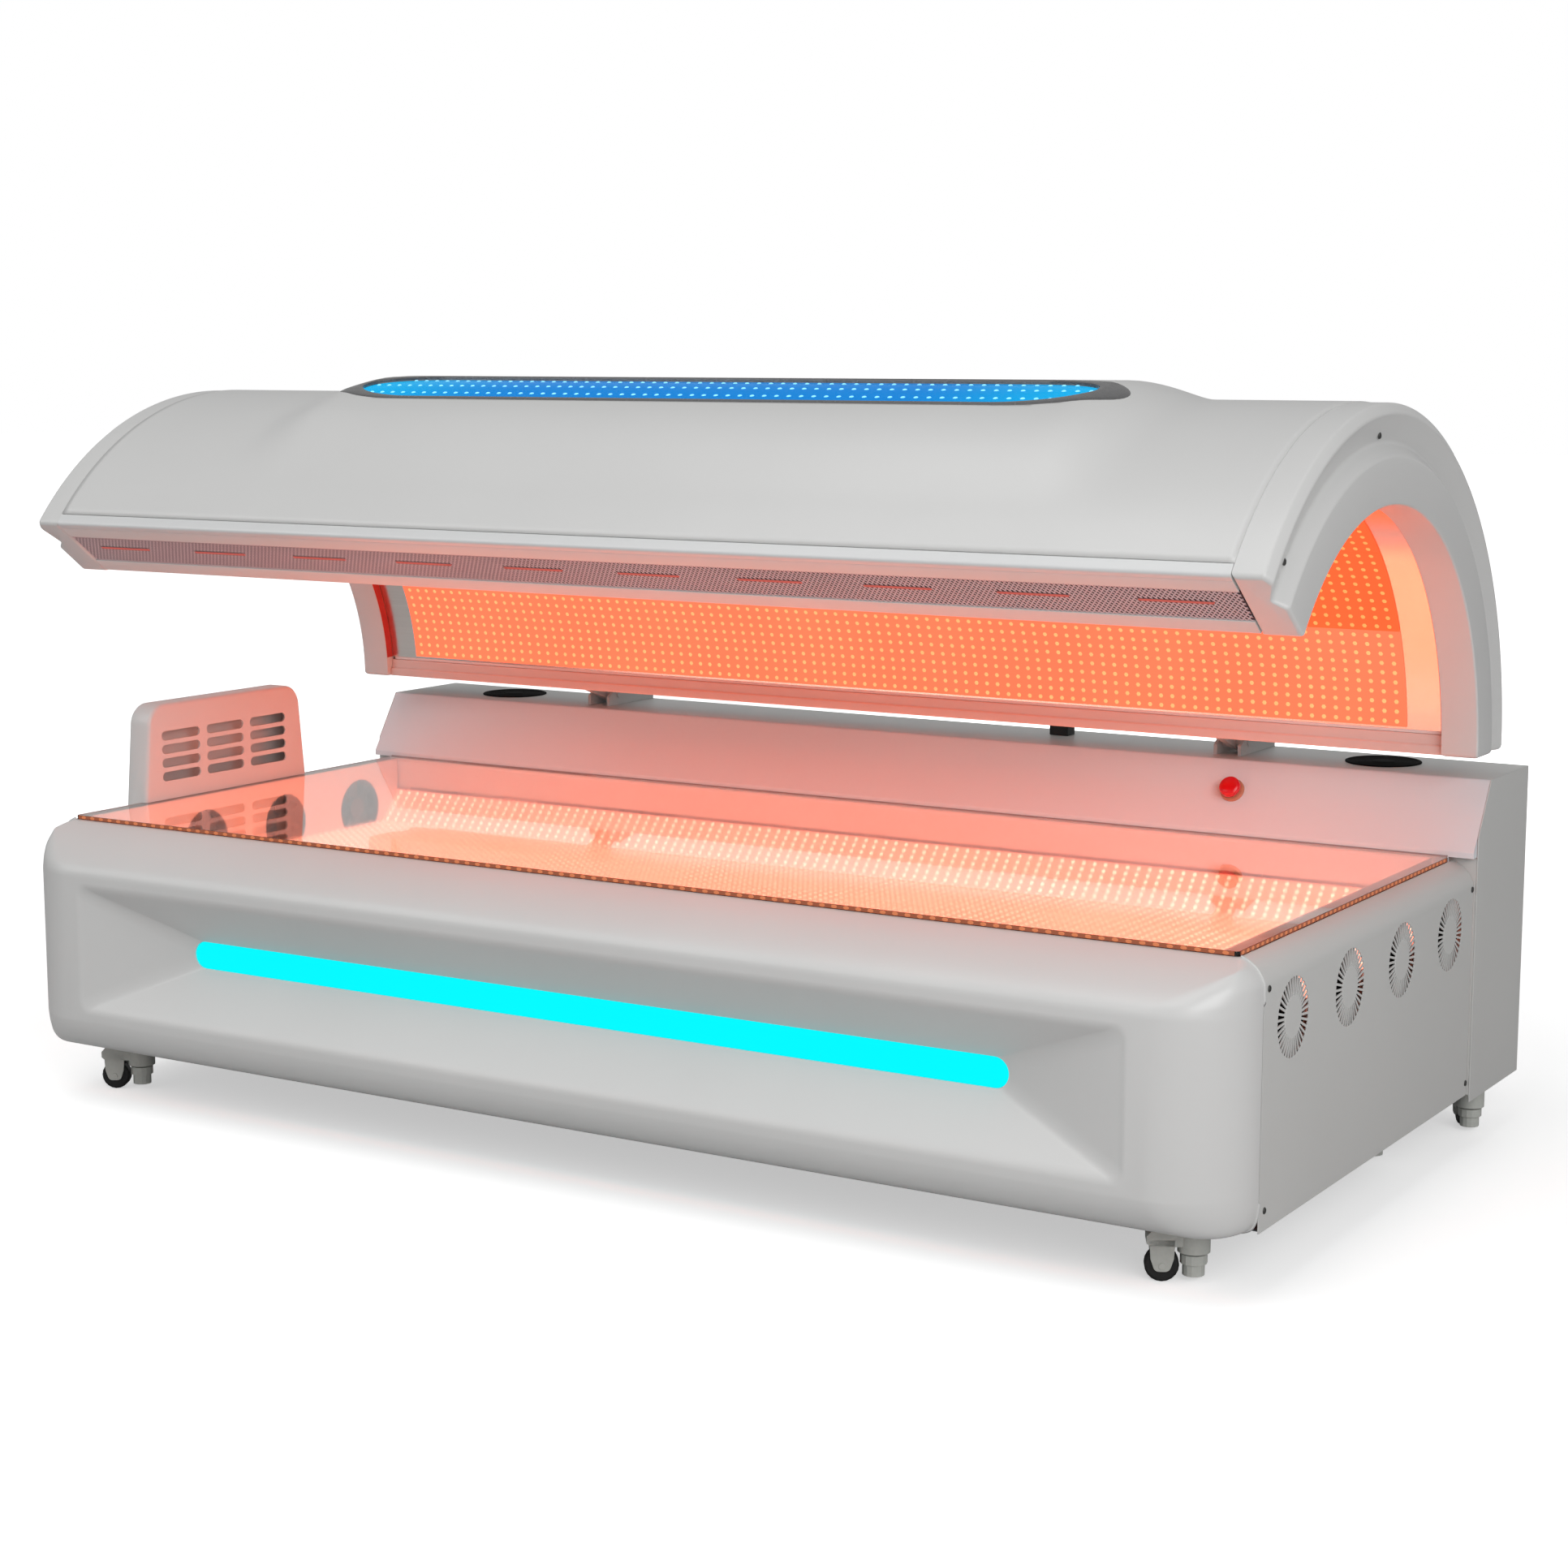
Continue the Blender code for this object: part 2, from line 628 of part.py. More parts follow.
def build_end_panel(name, side, material):
    outline = [(side * x, z) for x, z in end_panel_outline()]
    panel = add_part(name, prism_mesh(name, outline, 'Y', SEAM_Y + GAP, COVER_FRONT_Y - PANEL_GAP), material)
    reach = sorted((side * (BASE_HALF_LENGTH - 2 * PANEL_WALL), side * (BASE_HALF_LENGTH + PANEL_WALL)))
    boolean(panel, ring_slot_cutter(name + "_slots", *reach))


def build_tray(material):
    """Two upright end walls and the floor sheet that carries the lower light boards, welded together."""
    low_z = PAN_Z + PAN_THICKNESS + GAP
    high_z = BED_TOP_Z - ACRYLIC_THICKNESS - GAP
    floor_z = TRAY_FLOOR_Z - LOWER_BOARD_THICKNESS - GAP
    middle = WALL_X + WALL_THICKNESS / 2
    floor = box_mesh("light_tray", (-middle, WALL_FRONT_Y + WALL_THICKNESS, floor_z - WALL_THICKNESS),
                     (middle, WALL_REAR_Y - WALL_THICKNESS, floor_z))
    tray = add_part("light_tray", floor, material)
    walls = bmesh.new()
    holes = bmesh.new()
    for side in (-1, 1):
        near, far = sorted((side * WALL_X, side * (WALL_X + WALL_THICKNESS)))
        add_box(walls, (near, WALL_FRONT_Y, low_z), (far, WALL_REAR_Y, high_z))
        for y in fan_places():
            add_cylinder(holes, 'X', (y, FAN_Z), FAN_HOLE_RADIUS, near - WALL_THICKNESS, far + WALL_THICKNESS,
                         FAN_STEPS)
    boolean(tray, add_cutter("tray_end_walls", finish_mesh(walls, "tray_end_walls")), 'UNION')
    boolean(tray, add_cutter("fan_openings", finish_mesh(holes, "fan_openings")))


def build_fans(frame_material, rotor_material):
    """Four fan frames on one mounting strip, and their rotors."""
    face_x = -(WALL_X + WALL_THICKNESS + GAP)
    back_x = face_x - FAN_DEPTH
    boss_x = back_x + FAN_BOSS_DEPTH
    half = FAN_SIZE / 2
    strip = half - FAN_STRUT_WIDTH
    places = fan_places()
    plate = box_mesh("fan_frames", (face_x - WALL_THICKNESS, places[0], FAN_Z - strip),
                     (face_x - PANEL_GAP, places[-1], FAN_Z + strip))
    frames = add_part("fan_frames", plate, frame_material)
    boxes = bmesh.new()
    ducts = bmesh.new()
    bosses = bmesh.new()
    level_struts = bmesh.new()
    upright_struts = bmesh.new()
    reach = half - FAN_STRUT_WIDTH / 2
    thin = FAN_STRUT_WIDTH / 2
    for y in places:
        add_box(boxes, (back_x, y - half, FAN_Z - half), (face_x, y + half, FAN_Z + half))
        add_cylinder(ducts, 'X', (y, FAN_Z), FAN_DUCT_RADIUS, back_x - GAP, face_x + GAP, FAN_STEPS)
        add_cylinder(bosses, 'X', (y, FAN_Z), FAN_BOSS_RADIUS, back_x + GAP, boss_x, SMALL_ROUND_STEPS)
        add_box(level_struts, (back_x + 2 * GAP, y - reach, FAN_Z - thin), (boss_x - GAP, y + reach, FAN_Z + thin))
        add_box(upright_struts, (back_x + 3 * GAP, y - thin, FAN_Z - reach), (boss_x - 2 * GAP, y + thin, FAN_Z + reach))
    boolean(frames, add_cutter("fan_boxes", finish_mesh(boxes, "fan_boxes")), 'UNION')
    boolean(frames, add_cutter("fan_ducts", finish_mesh(ducts, "fan_ducts")))
    boolean(frames, add_cutter("fan_level_struts", finish_mesh(level_struts, "fan_level_struts")), 'UNION')
    boolean(frames, add_cutter("fan_upright_struts", finish_mesh(upright_struts, "fan_upright_struts")), 'UNION')
    boolean(frames, add_cutter("fan_bosses", finish_mesh(bosses, "fan_bosses")), 'UNION')

    hub = bmesh.new()
    rotor_x = boss_x + GAP
    add_cylinder(hub, 'X', (0, 0), ROTOR_HUB_RADIUS, rotor_x, rotor_x + ROTOR_DEPTH, SMALL_ROUND_STEPS)
    rotor = add_part("fan_rotor", finish_mesh(hub, "fan_rotor"), rotor_material)
    chord = (ROTOR_DEPTH - ROTOR_BLADE_THICKNESS) / 2 / math.cos(ROTOR_BLADE_PITCH) - ROTOR_BLADE_THICKNESS
    blades = bmesh.new()
    for i in range(ROTOR_BLADES):
        verts = add_box(blades, (-chord, -ROTOR_BLADE_THICKNESS / 2, ROTOR_HUB_RADIUS * 0.85),
                        (chord, ROTOR_BLADE_THICKNESS / 2, ROTOR_RADIUS))
        pitch = Matrix.Rotation(ROTOR_BLADE_PITCH, 4, 'Z')
        turn = Matrix.Rotation(math.tau * i / ROTOR_BLADES, 4, 'X')
        place = Matrix.Translation((rotor_x + ROTOR_DEPTH / 2, 0, 0))
        bmesh.ops.transform(blades, matrix=place @ turn @ pitch, verts=verts)
    boolean(rotor, add_cutter("fan_blades", finish_mesh(blades, "fan_blades")), 'UNION')
    rotor_mesh = baked_mesh(rotor, "fan_rotor")
    for i, y in enumerate(places):
        spin = add_part("fan_rotor_%d" % (i + 1), rotor_mesh, rotor_material)
        spin.location = (0, y, FAN_Z)


def build_lower_boards(material):
    """The lower light board: a flat floor with a sloping flank on each side."""
    reach = WALL_X - GAP
    half = TRAY_FLOOR_HALF_WIDTH
    flank = half + TRAY_SLOPE_RUN
    rise = TRAY_FLOOR_Z + TRAY_SLOPE_RISE
    line = [(TRAY_MIDDLE_Y - flank, rise), (TRAY_MIDDLE_Y - half, TRAY_FLOOR_Z),
            (TRAY_MIDDLE_Y + half, TRAY_FLOOR_Z), (TRAY_MIDDLE_Y + flank, rise)]
    board = prism_mesh("lower_led_boards", sheet_outline(line, LOWER_BOARD_THICKNESS), 'X', -reach, reach)
    add_part("lower_led_boards", board, material)


def build_acrylic(material):
    radius = ACRYLIC_CORNER_RADIUS
    right = ACRYLIC_HALF_LENGTH - radius
    front, rear = ACRYLIC_FRONT_Y + radius, ACRYLIC_REAR_Y - radius
    outline = []
    for x, y, start in ((right, front, -90), (right, rear, 0), (-right, rear, 90), (-right, front, 180)):
        outline += arc((x, y), radius, start, start + 90, 4)
    sheet = prism_mesh("bed_acrylic", outline, 'Z', BED_TOP_Z - ACRYLIC_THICKNESS, BED_TOP_Z)
    add_part("bed_acrylic", sheet, material)


# Rear cabinet

def console_slope():
    """Unit vectors up the sloped console and out of it, as (y, z)."""
    up = Vector((DECK_FRONT_Y - CONSOLE_FOOT_Y, DECK_Z - CONSOLE_FOOT_Z)).normalized()
    return up, Vector((-up.y, up.x))


def button_frame():
    """World matrix with Z out of the console and its origin on the console at the button."""
    up, out = console_slope()
    foot = Vector((CONSOLE_FOOT_Y, CONSOLE_FOOT_Z)) + up * BUTTON_UP_SLOPE
    turn = Matrix(((1, 0, 0), (0, up.x, out.x), (0, up.y, out.y))).to_4x4()
    return Matrix.Translation((BUTTON_X, foot.x, foot.y)) @ turn


def deck_slot_y(distance):
    return HINGE_Y + distance


def build_console(material):
    ledge_z = BED_TOP_Z - ACRYLIC_THICKNESS - GAP
    line = [(BAND_FOOT_Y, BAND_FOOT_Z), (CONSOLE_LEDGE_Y, ledge_z), (CONSOLE_FOOT_Y + PANEL_GAP, ledge_z),
            (CONSOLE_FOOT_Y, CONSOLE_FOOT_Z), (DECK_FRONT_Y, DECK_Z), (BACK_Y - PANEL_WALL - GAP, DECK_Z)]
    half = CABINET_HALF_LENGTH - PANEL_WALL - GAP
    console = add_part("rear_console", prism_mesh("rear_console", sheet_outline(line, PANEL_WALL), 'X', -half, half),
                       material)
    cut = bmesh.new()
    for side in (-1, 1):
        add_cylinder(cut, 'Z', (side * SPEAKER_X, SPEAKER_Y), SPEAKER_BODY_RADIUS + GAP,
                     DECK_Z - 2 * PANEL_WALL, DECK_Z + PANEL_WALL)
        add_box(cut, (side * HINGE_X - DECK_SLOT_HALF_WIDTH, deck_slot_y(DECK_SLOT_START), DECK_Z - 2 * PANEL_WALL),
                (side * HINGE_X + DECK_SLOT_HALF_WIDTH, deck_slot_y(DECK_SLOT_END), DECK_Z + PANEL_WALL))
    # The end panels' shoulders pass under the foot of the console
    inside = BASE_HALF_LENGTH - SHOULDER_CURVE[-1][1] - PANEL_WALL - PANEL_GAP
    shoulder_top = BED_TOP_Z - SHOULDER_TOP_DROP + PANEL_GAP
    for side in (-1, 1):
        low, high = sorted((side * inside, side * CABINET_HALF_LENGTH))
        add_box(cut, (low, BAND_FOOT_Y - PANEL_WALL, BAND_FOOT_Z - PANEL_WALL), (high, COVER_FRONT_Y, shoulder_top))
    neck = add_cylinder(cut, 'Z', (0, 0), COLLAR_NECK_RADIUS + GAP, -2 * PANEL_WALL, PANEL_WALL, SMALL_ROUND_STEPS)
    bmesh.ops.transform(cut, matrix=button_frame(), verts=neck)
    boolean(console, add_cutter("console_openings", finish_mesh(cut, "console_openings")))


def build_cabinet_wrap(material):
    """Back and both ends of the rear cabinet, folded from one sheet."""
    half = CABINET_HALF_LENGTH
    line = [(half, COVER_FRONT_Y), (half, BACK_Y), (-half, BACK_Y), (-half, COVER_FRONT_Y)]
    wrap = prism_mesh("rear_cabinet_wrap", sheet_outline(line, -PANEL_WALL), 'Z', CABINET_SKIRT_Z, DECK_Z)
    item = add_part("rear_cabinet_wrap", wrap, material)
    up, _ = console_slope()
    spare = 0.050
    beyond = Vector((DECK_FRONT_Y, DECK_Z)) + up * spare
    below = Vector((CONSOLE_FOOT_Y, CONSOLE_FOOT_Z)) - up * spare
    bevel = prism_mesh("wrap_bevel", [tuple(below), tuple(beyond), (below.x, beyond.y)], 'X', -2 * half, 2 * half)
    boolean(item, add_cutter("wrap_bevel", bevel))


def build_deck_fittings(speaker_material, switch_material, inlet_material):
    top = DECK_Z + GAP
    profile = [(0, top + SPEAKER_RIM), (SPEAKER_RADIUS, top + SPEAKER_RIM), (SPEAKER_RADIUS, top),
               (SPEAKER_BODY_RADIUS, top), (SPEAKER_BODY_RADIUS, top - SPEAKER_BODY_DEPTH),
               (0, top - SPEAKER_BODY_DEPTH)]
    speaker = turned_mesh("deck_speaker", profile)
    for end, side in ENDS:
        add_part("deck_speaker_" + end, speaker, speaker_material, smooth=True).location = (side * SPEAKER_X, SPEAKER_Y, 0)
    width, depth, height = SWITCH_SIZE
    switch = box_mesh("limit_switch", (SWITCH_X - width / 2, SWITCH_Y - depth / 2, top),
                      (SWITCH_X + width / 2, SWITCH_Y + depth / 2, top + height))
    add_part("limit_switch", switch, switch_material)
    width, depth, height = INLET_SIZE
    inlet = box_mesh("mains_inlet", (INLET_X - width / 2, BACK_Y + GAP, INLET_Z - height / 2),
                     (INLET_X + width / 2, BACK_Y + GAP + depth, INLET_Z + height / 2))
    add_part("mains_inlet", inlet, inlet_material)


def build_button(collar_material, button_material):
    bore = BUTTON_STEM_RADIUS + GAP
    collar = turned_mesh("button_collar", [
        (bore, COLLAR_HEIGHT), (COLLAR_RADIUS - 0.002, COLLAR_HEIGHT), (COLLAR_RADIUS, COLLAR_HEIGHT - 0.002),
        (COLLAR_RADIUS, GAP), (COLLAR_NECK_RADIUS, GAP), (COLLAR_NECK_RADIUS, -COLLAR_NECK_LENGTH),
        (bore, -COLLAR_NECK_LENGTH)], SMALL_ROUND_STEPS, ring=True)
    add_part("button_collar", collar, collar_material, smooth=True).matrix_world = button_frame()
    foot = COLLAR_HEIGHT + BUTTON_TRAVEL + GAP
    top = foot + BUTTON_HEIGHT
    shoulder = BUTTON_HEIGHT * 0.55
    dome = [(BUTTON_RADIUS * math.cos(math.radians(a)), foot + shoulder
             + (BUTTON_HEIGHT - shoulder) * math.sin(math.radians(a))) for a in (0, 25, 50, 70)]
    profile = [(0, top)] + dome[::-1] + [(BUTTON_RADIUS, foot), (BUTTON_STEM_RADIUS, foot),
                                        (BUTTON_STEM_RADIUS, foot - BUTTON_STEM_LENGTH),
                                        (0, foot - BUTTON_STEM_LENGTH)]
    knob = turned_mesh("red_button", profile, SMALL_ROUND_STEPS)
    add_part("red_button", knob, button_material, smooth=True).matrix_world = button_frame()


# Floor pan, chassis and power supply

def build_chassis(frame_material, supply_material):
    """Floor pan with its stiffening rails and caster plates welded on, and the power supply that stands on it."""
    low = PAN_Z + PAN_THICKNESS
    pan = add_part("base_frame", box_mesh("base_frame", (-PAN_HALF_LENGTH, PAN_FRONT_Y, PAN_Z),
                                          (PAN_HALF_LENGTH, PAN_REAR_Y, low)), frame_material)
    half = RAIL_SIZE / 2
    weld = PAN_THICKNESS / 2
    long_rails = bmesh.new()
    cross_rails = bmesh.new()
    plates = bmesh.new()
    for y in (FRONT_RAIL_Y, MIDDLE_RAIL_Y):
        add_box(long_rails, (-RAIL_HALF_LENGTH, y - half, low - weld), (RAIL_HALF_LENGTH, y + half, low + RAIL_SIZE))
    for x in CROSS_RAIL_X:
        add_box(cross_rails, (x - half, FRONT_RAIL_Y, low - weld / 2), (x + half, MIDDLE_RAIL_Y, low + RAIL_SIZE - weld))
    for _, (x, y), _ in caster_places():
        side = CASTER_PLATE_HALF
        add_box(plates, (x - side, y - side, CASTER_PLATE_Z), (x + side, y + side, PAN_Z + weld / 2))
    boolean(pan, add_cutter("long_rails", finish_mesh(long_rails, "long_rails")), 'UNION')
    boolean(pan, add_cutter("cross_rails", finish_mesh(cross_rails, "cross_rails")), 'UNION')
    boolean(pan, add_cutter("caster_plates", finish_mesh(plates, "caster_plates")), 'UNION')
    hollow = half - RAIL_WALL
    long_bores = bmesh.new()
    cross_bores = bmesh.new()
    for y in (FRONT_RAIL_Y, MIDDLE_RAIL_Y):
        add_box(long_bores, (-RAIL_HALF_LENGTH - RAIL_WALL, y - hollow, low + RAIL_WALL),
                (RAIL_HALF_LENGTH + RAIL_WALL, y + hollow, low + RAIL_SIZE - RAIL_WALL))
    for x in CROSS_RAIL_X:
        add_box(cross_bores, (x - hollow, FRONT_RAIL_Y, low + 2 * RAIL_WALL),
                (x + hollow, MIDDLE_RAIL_Y, low + RAIL_SIZE - 2 * RAIL_WALL))
    boolean(pan, add_cutter("long_rail_bores", finish_mesh(long_bores, "long_rail_bores")))
    boolean(pan, add_cutter("cross_rail_bores", finish_mesh(cross_bores, "cross_rail_bores")))
    width, depth, height = SUPPLY_SIZE
    x, y = SUPPLY_CENTRE
    supply = box_mesh("power_supply", (x - width / 2, y - depth / 2, low + GAP),
                      (x + width / 2, y + depth / 2, low + GAP + height))
    add_part("power_supply", supply, supply_material)


# Head vent box

def vent_box_outline(inset, low_z):
    """Trapezium with rounded upper corners, as (y, z), set in by a wall."""
    foot_low, foot_high = VENT_BOX_FOOT
    head_low, head_high = VENT_BOX_HEAD
    radius = VENT_BOX_CORNER - inset
    top = VENT_BOX_TOP_Z - inset
    right = arc((head_high - VENT_BOX_CORNER, top - radius), radius, 0, 90, 6)
    left = arc((head_low + VENT_BOX_CORNER, top - radius), radius, 90, 180, 6)
    return [(foot_low + inset, low_z), (foot_high - inset, low_z)] + right + left


def build_head_vent(material):
    low_z = BED_TOP_Z - VENT_BOX_SHOULDER_REACH
    box = add_part("head_vent_box", prism_mesh("head_vent_box", vent_box_outline(0, low_z), 'X',
                                               VENT_BOX_BACK_X, VENT_BOX_FRONT_X), material)
    wall = VENT_BOX_WALL
    hollow = prism_mesh("head_vent_hollow", vent_box_outline(wall, low_z - wall), 'X',
                        VENT_BOX_BACK_X + wall, VENT_BOX_FRONT_X - wall)
    boolean(box, add_cutter("head_vent_hollow", hollow))
    # The foot of the box follows the acrylic sheet and the end panel's shoulder
    top = BED_TOP_Z + GAP
    shoulder = [(-(BASE_HALF_LENGTH - end) - GAP, z + 2 * GAP) for z, end, _ in base_levels() if z > FACE_HIGH_Z]
    under = [(VENT_BOX_FRONT_X + wall, FACE_HIGH_Z), (VENT_BOX_FRONT_X + wall, top),
             (-ACRYLIC_HALF_LENGTH - PANEL_GAP, top)]
    under += shoulder[::-1] + [(shoulder[0][0], FACE_HIGH_Z)]
    foot = prism_mesh("head_vent_foot", under, 'Y', VENT_BOX_FOOT[0] - wall, VENT_BOX_FOOT[1] + wall)
    boolean(box, add_cutter("head_vent_foot", foot))
    slots = bmesh.new()
    length, height = VENT_BOX_SLOT
    centre_y, centre_z = VENT_BOX_GRILLE_CENTRE
    for row in range(VENT_BOX_ROWS):
        z = centre_z + (row - (VENT_BOX_ROWS - 1) / 2) * VENT_BOX_PITCH[1]
        for column in range(VENT_BOX_COLUMNS):
            y = centre_y + (column - (VENT_BOX_COLUMNS - 1) / 2) * VENT_BOX_PITCH[0]
            add_box(slots, (VENT_BOX_FRONT_X - 2 * wall, y - length / 2, z - height / 2),
                    (VENT_BOX_FRONT_X + wall, y + length / 2, z + height / 2))
    boolean(box, add_cutter("head_vent_slots", finish_mesh(slots, "head_vent_slots")))


# Canopy

def crown_radius(x, deg):
    """Outer radius of the canopy skin, with its raised crown."""
    along = smooth_step((CROWN_END_X - abs(x - CROWN_X)) / (CROWN_END_X - CROWN_FLAT_X))
    around = smooth_step((CROWN_END_DEG - abs(deg - 90)) / (CROWN_END_DEG - CROWN_FLAT_DEG))
    return SKIN_RADIUS + CROWN_RISE * along * around


def skin_mesh(name, stations, angles, lift):
    """Open sheet on the canopy's outer surface, raised by lift."""
    bm = bmesh.new()
    bmesh.ops.create_grid(bm, x_segments=len(stations) - 1, y_segments=len(angles) - 1, size=1.0)
    for vert in bm.verts:
        column = round((vert.co.x + 1) / 2 * (len(stations) - 1))
        row = round((vert.co.y + 1) / 2 * (len(angles) - 1))
        x = stations[column]
        y, z = pipe_point(crown_radius(x, angles[row]) + lift, angles[row])
        vert.co = (x, y, z)
    bmesh.ops.recalc_face_normals(bm, faces=bm.faces[:])
    middle = bm.faces[:][len(bm.faces) // 2]
    centre = middle.calc_center_median()
    if middle.normal.dot(centre - Vector((centre.x, PIPE_Y, PIPE_Z))) < 0:
        bmesh.ops.reverse_faces(bm, faces=bm.faces[:])
    mesh = bpy.data.meshes.new(name)
    bm.to_mesh(mesh)
    bm.free()
    return mesh


def crown_stations(low, high):
    """X stations that follow the ends of the crown, between two limits."""
    slope = [CROWN_FLAT_X + (CROWN_END_X - CROWN_FLAT_X) * i / CROWN_SLOPE_STEPS for i in range(CROWN_SLOPE_STEPS + 1)]
    ends = [CROWN_X - x for x in slope[::-1]] + [CROWN_X + x for x in slope]
    return [low] + [x for x in ends if low < x < high] + [high]


def thicken(item, wall):
    solid = item.modifiers.new("wall", 'SOLIDIFY')
    solid.thickness = wall
    solid.offset = -1.0


def window_outline(growth):
    """Long outline with half-elliptical ends, as (x, y), grown or set in from the bezel's outer edge."""
    half_width = WINDOW_HALF_WIDTH + growth
    half_length = WINDOW_HALF_LENGTH + growth * (BEZEL_TIP_SHARE if growth < 0 else 1)
    end_length = WINDOW_END_LENGTH * half_width / WINDOW_HALF_WIDTH
    straight = half_length - end_length
    right = []
    for i in range(WINDOW_ARC_STEPS + 1):
        angle = math.pi * (i / WINDOW_ARC_STEPS - 0.5)
        right.append((CROWN_X + straight + end_length * math.cos(angle), WINDOW_Y + half_width * math.sin(angle)))
    return right + [(2 * CROWN_X - x, 2 * WINDOW_Y - y) for x, y in right]


def window_cutter(name, growth):
    outline = window_outline(growth)
    top = PIPE_Z + SKIN_RADIUS + CROWN_RISE
    low = PIPE_Z + PIPE_RADIUS / 2
    return add_cutter(name, prism_mesh(name, outline, 'Z', low, top + CROWN_RISE))


def build_canopy_skin(hinge, shell_material, bezel_material, pane_material, board_material):
    end = PIPE_END_DEG - FRONT_RAIL_DEG
    angles = [end * i / SHELL_STEPS for i in range(SHELL_STEPS + 1)]
    skin = skin_mesh("canopy_shell", crown_stations(-SHELL_HALF_LENGTH, SHELL_HALF_LENGTH), angles, 0.0)
    shell = add_part("canopy_shell", skin, shell_material, hinge, smooth=True)
    thicken(shell, SHELL_WALL)
    boolean(shell, window_cutter("window_opening", GAP))

    limit = WINDOW_HALF_LENGTH + BEZEL_WIDTH
    spread = CROWN_FLAT_DEG + 3
    patch_angles = [90 - spread + 2 * spread * i / 12 for i in range(13)]
    layers = (
        ("crown_bezel", BEZEL_PROUD, BEZEL_PROUD + BEZEL_DEPTH, 0.0, -BEZEL_WIDTH, bezel_material),
        ("crown_window", -PANE_DROP, PANE_THICKNESS, -BEZEL_WIDTH - GAP, None, pane_material),
        ("crown_led_board", -BEZEL_DEPTH - GAP, CROWN_BOARD_THICKNESS, CROWN_BOARD_OVERLAP - BEZEL_WIDTH, None,
         board_material),
    )
    for name, lift, wall, growth, hole, material in layers:
        patch = skin_mesh(name, crown_stations(CROWN_X - limit, CROWN_X + limit), patch_angles, lift)
        piece = add_part(name, patch, material, hinge, smooth=True)
        thicken(piece, wall)
        boolean(piece, window_cutter(name + "_outline", growth), 'INTERSECT')
        if hole is not None:
            boolean(piece, window_cutter(name + "_hole", hole))


def build_end_cap(name, side, hinge, material):
    """A moulded end ring: flat inner face, groove, rounded outer edge, swept round the pipe."""
    inner_x = SHELL_HALF_LENGTH + GAP
    profile = [(inner_x, CAP_INNER_RADIUS), (CAP_HALF_LENGTH, CAP_INNER_RADIUS), (CAP_HALF_LENGTH, CAP_FACE_RADIUS),
               (CAP_HALF_LENGTH - CAP_GROOVE_DEPTH, CAP_GROOVE_RADIUS),
               (CAP_HALF_LENGTH - CAP_EDGE_DEPTH, CAP_EDGE_RADIUS),
               (CAP_HALF_LENGTH - CAP_ROUND_DEPTH, CAP_RIM_RADIUS), (inner_x, CAP_RIM_RADIUS)]
    bm = bmesh.new()
    verts = [bm.verts.new((side * x, PIPE_Y + r, PIPE_Z)) for x, r in profile]
    edges = [bm.edges.new((verts[i], verts[(i + 1) % len(verts)])) for i in range(len(verts))]
    bmesh.ops.spin(bm, geom=verts + edges, cent=(0, PIPE_Y, PIPE_Z), axis=(1, 0, 0),
                   angle=math.radians(PIPE_END_DEG), steps=CAP_STEPS)
    bmesh.ops.holes_fill(bm, edges=[e for e in bm.edges if e.is_boundary], sides=0)
    add_part(name, finish_mesh(bm, name), material, hinge, smooth=True)


def liner_angles():
    step = (LINER_END_DEG - LINER_START_DEG) / LINER_FACETS
    return [LINER_START_DEG + step * i for i in range(LINER_FACETS + 1)]


def trimmed(points, length):
    """A line of points with a length taken off each end."""
    first, last = Vector(points[0]), Vector(points[-1])
    first += (Vector(points[1]) - first).normalized() * length
    last += (Vector(points[-2]) - last).normalized() * length
    return [tuple(first)] + points[1:-1] + [tuple(last)]


def build_liner(hinge, liner_material, board_material):
    inner = [pipe_point(LINER_RADIUS, a) for a in liner_angles()]
    outer = [pipe_point(LINER_RADIUS + LINER_WALL, a) for a in liner_angles()]
    lip_low, lip_high = LIP_RADII
    lip = [pipe_point(lip_low, LIP_START_DEG), pipe_point(lip_low, PIPE_END_DEG),
           pipe_point(lip_high, PIPE_END_DEG), pipe_point(lip_high, LIP_START_DEG)]
    liner = prism_mesh("canopy_liner", inner + lip + outer[::-1], 'X', -SHELL_HALF_LENGTH, SHELL_HALF_LENGTH)
    add_part("canopy_liner", liner, liner_material, hinge)
    facet = math.radians(LINER_END_DEG - LINER_START_DEG) / LINER_FACETS / 2
    board_radius = LINER_RADIUS - GAP / math.cos(facet)
    thin = UPPER_BOARD_THICKNESS / math.cos(facet)
    outer = trimmed([pipe_point(board_radius, a) for a in liner_angles()], UPPER_BOARD_MARGIN)
    inner = trimmed([pipe_point(board_radius - thin, a) for a in liner_angles()], UPPER_BOARD_MARGIN)
    boards = prism_mesh("upper_led_boards", inner + outer[::-1], 'X', -UPPER_BOARD_HALF_LENGTH, UPPER_BOARD_HALF_LENGTH)
    add_part("upper_led_boards", boards, board_material, hinge)


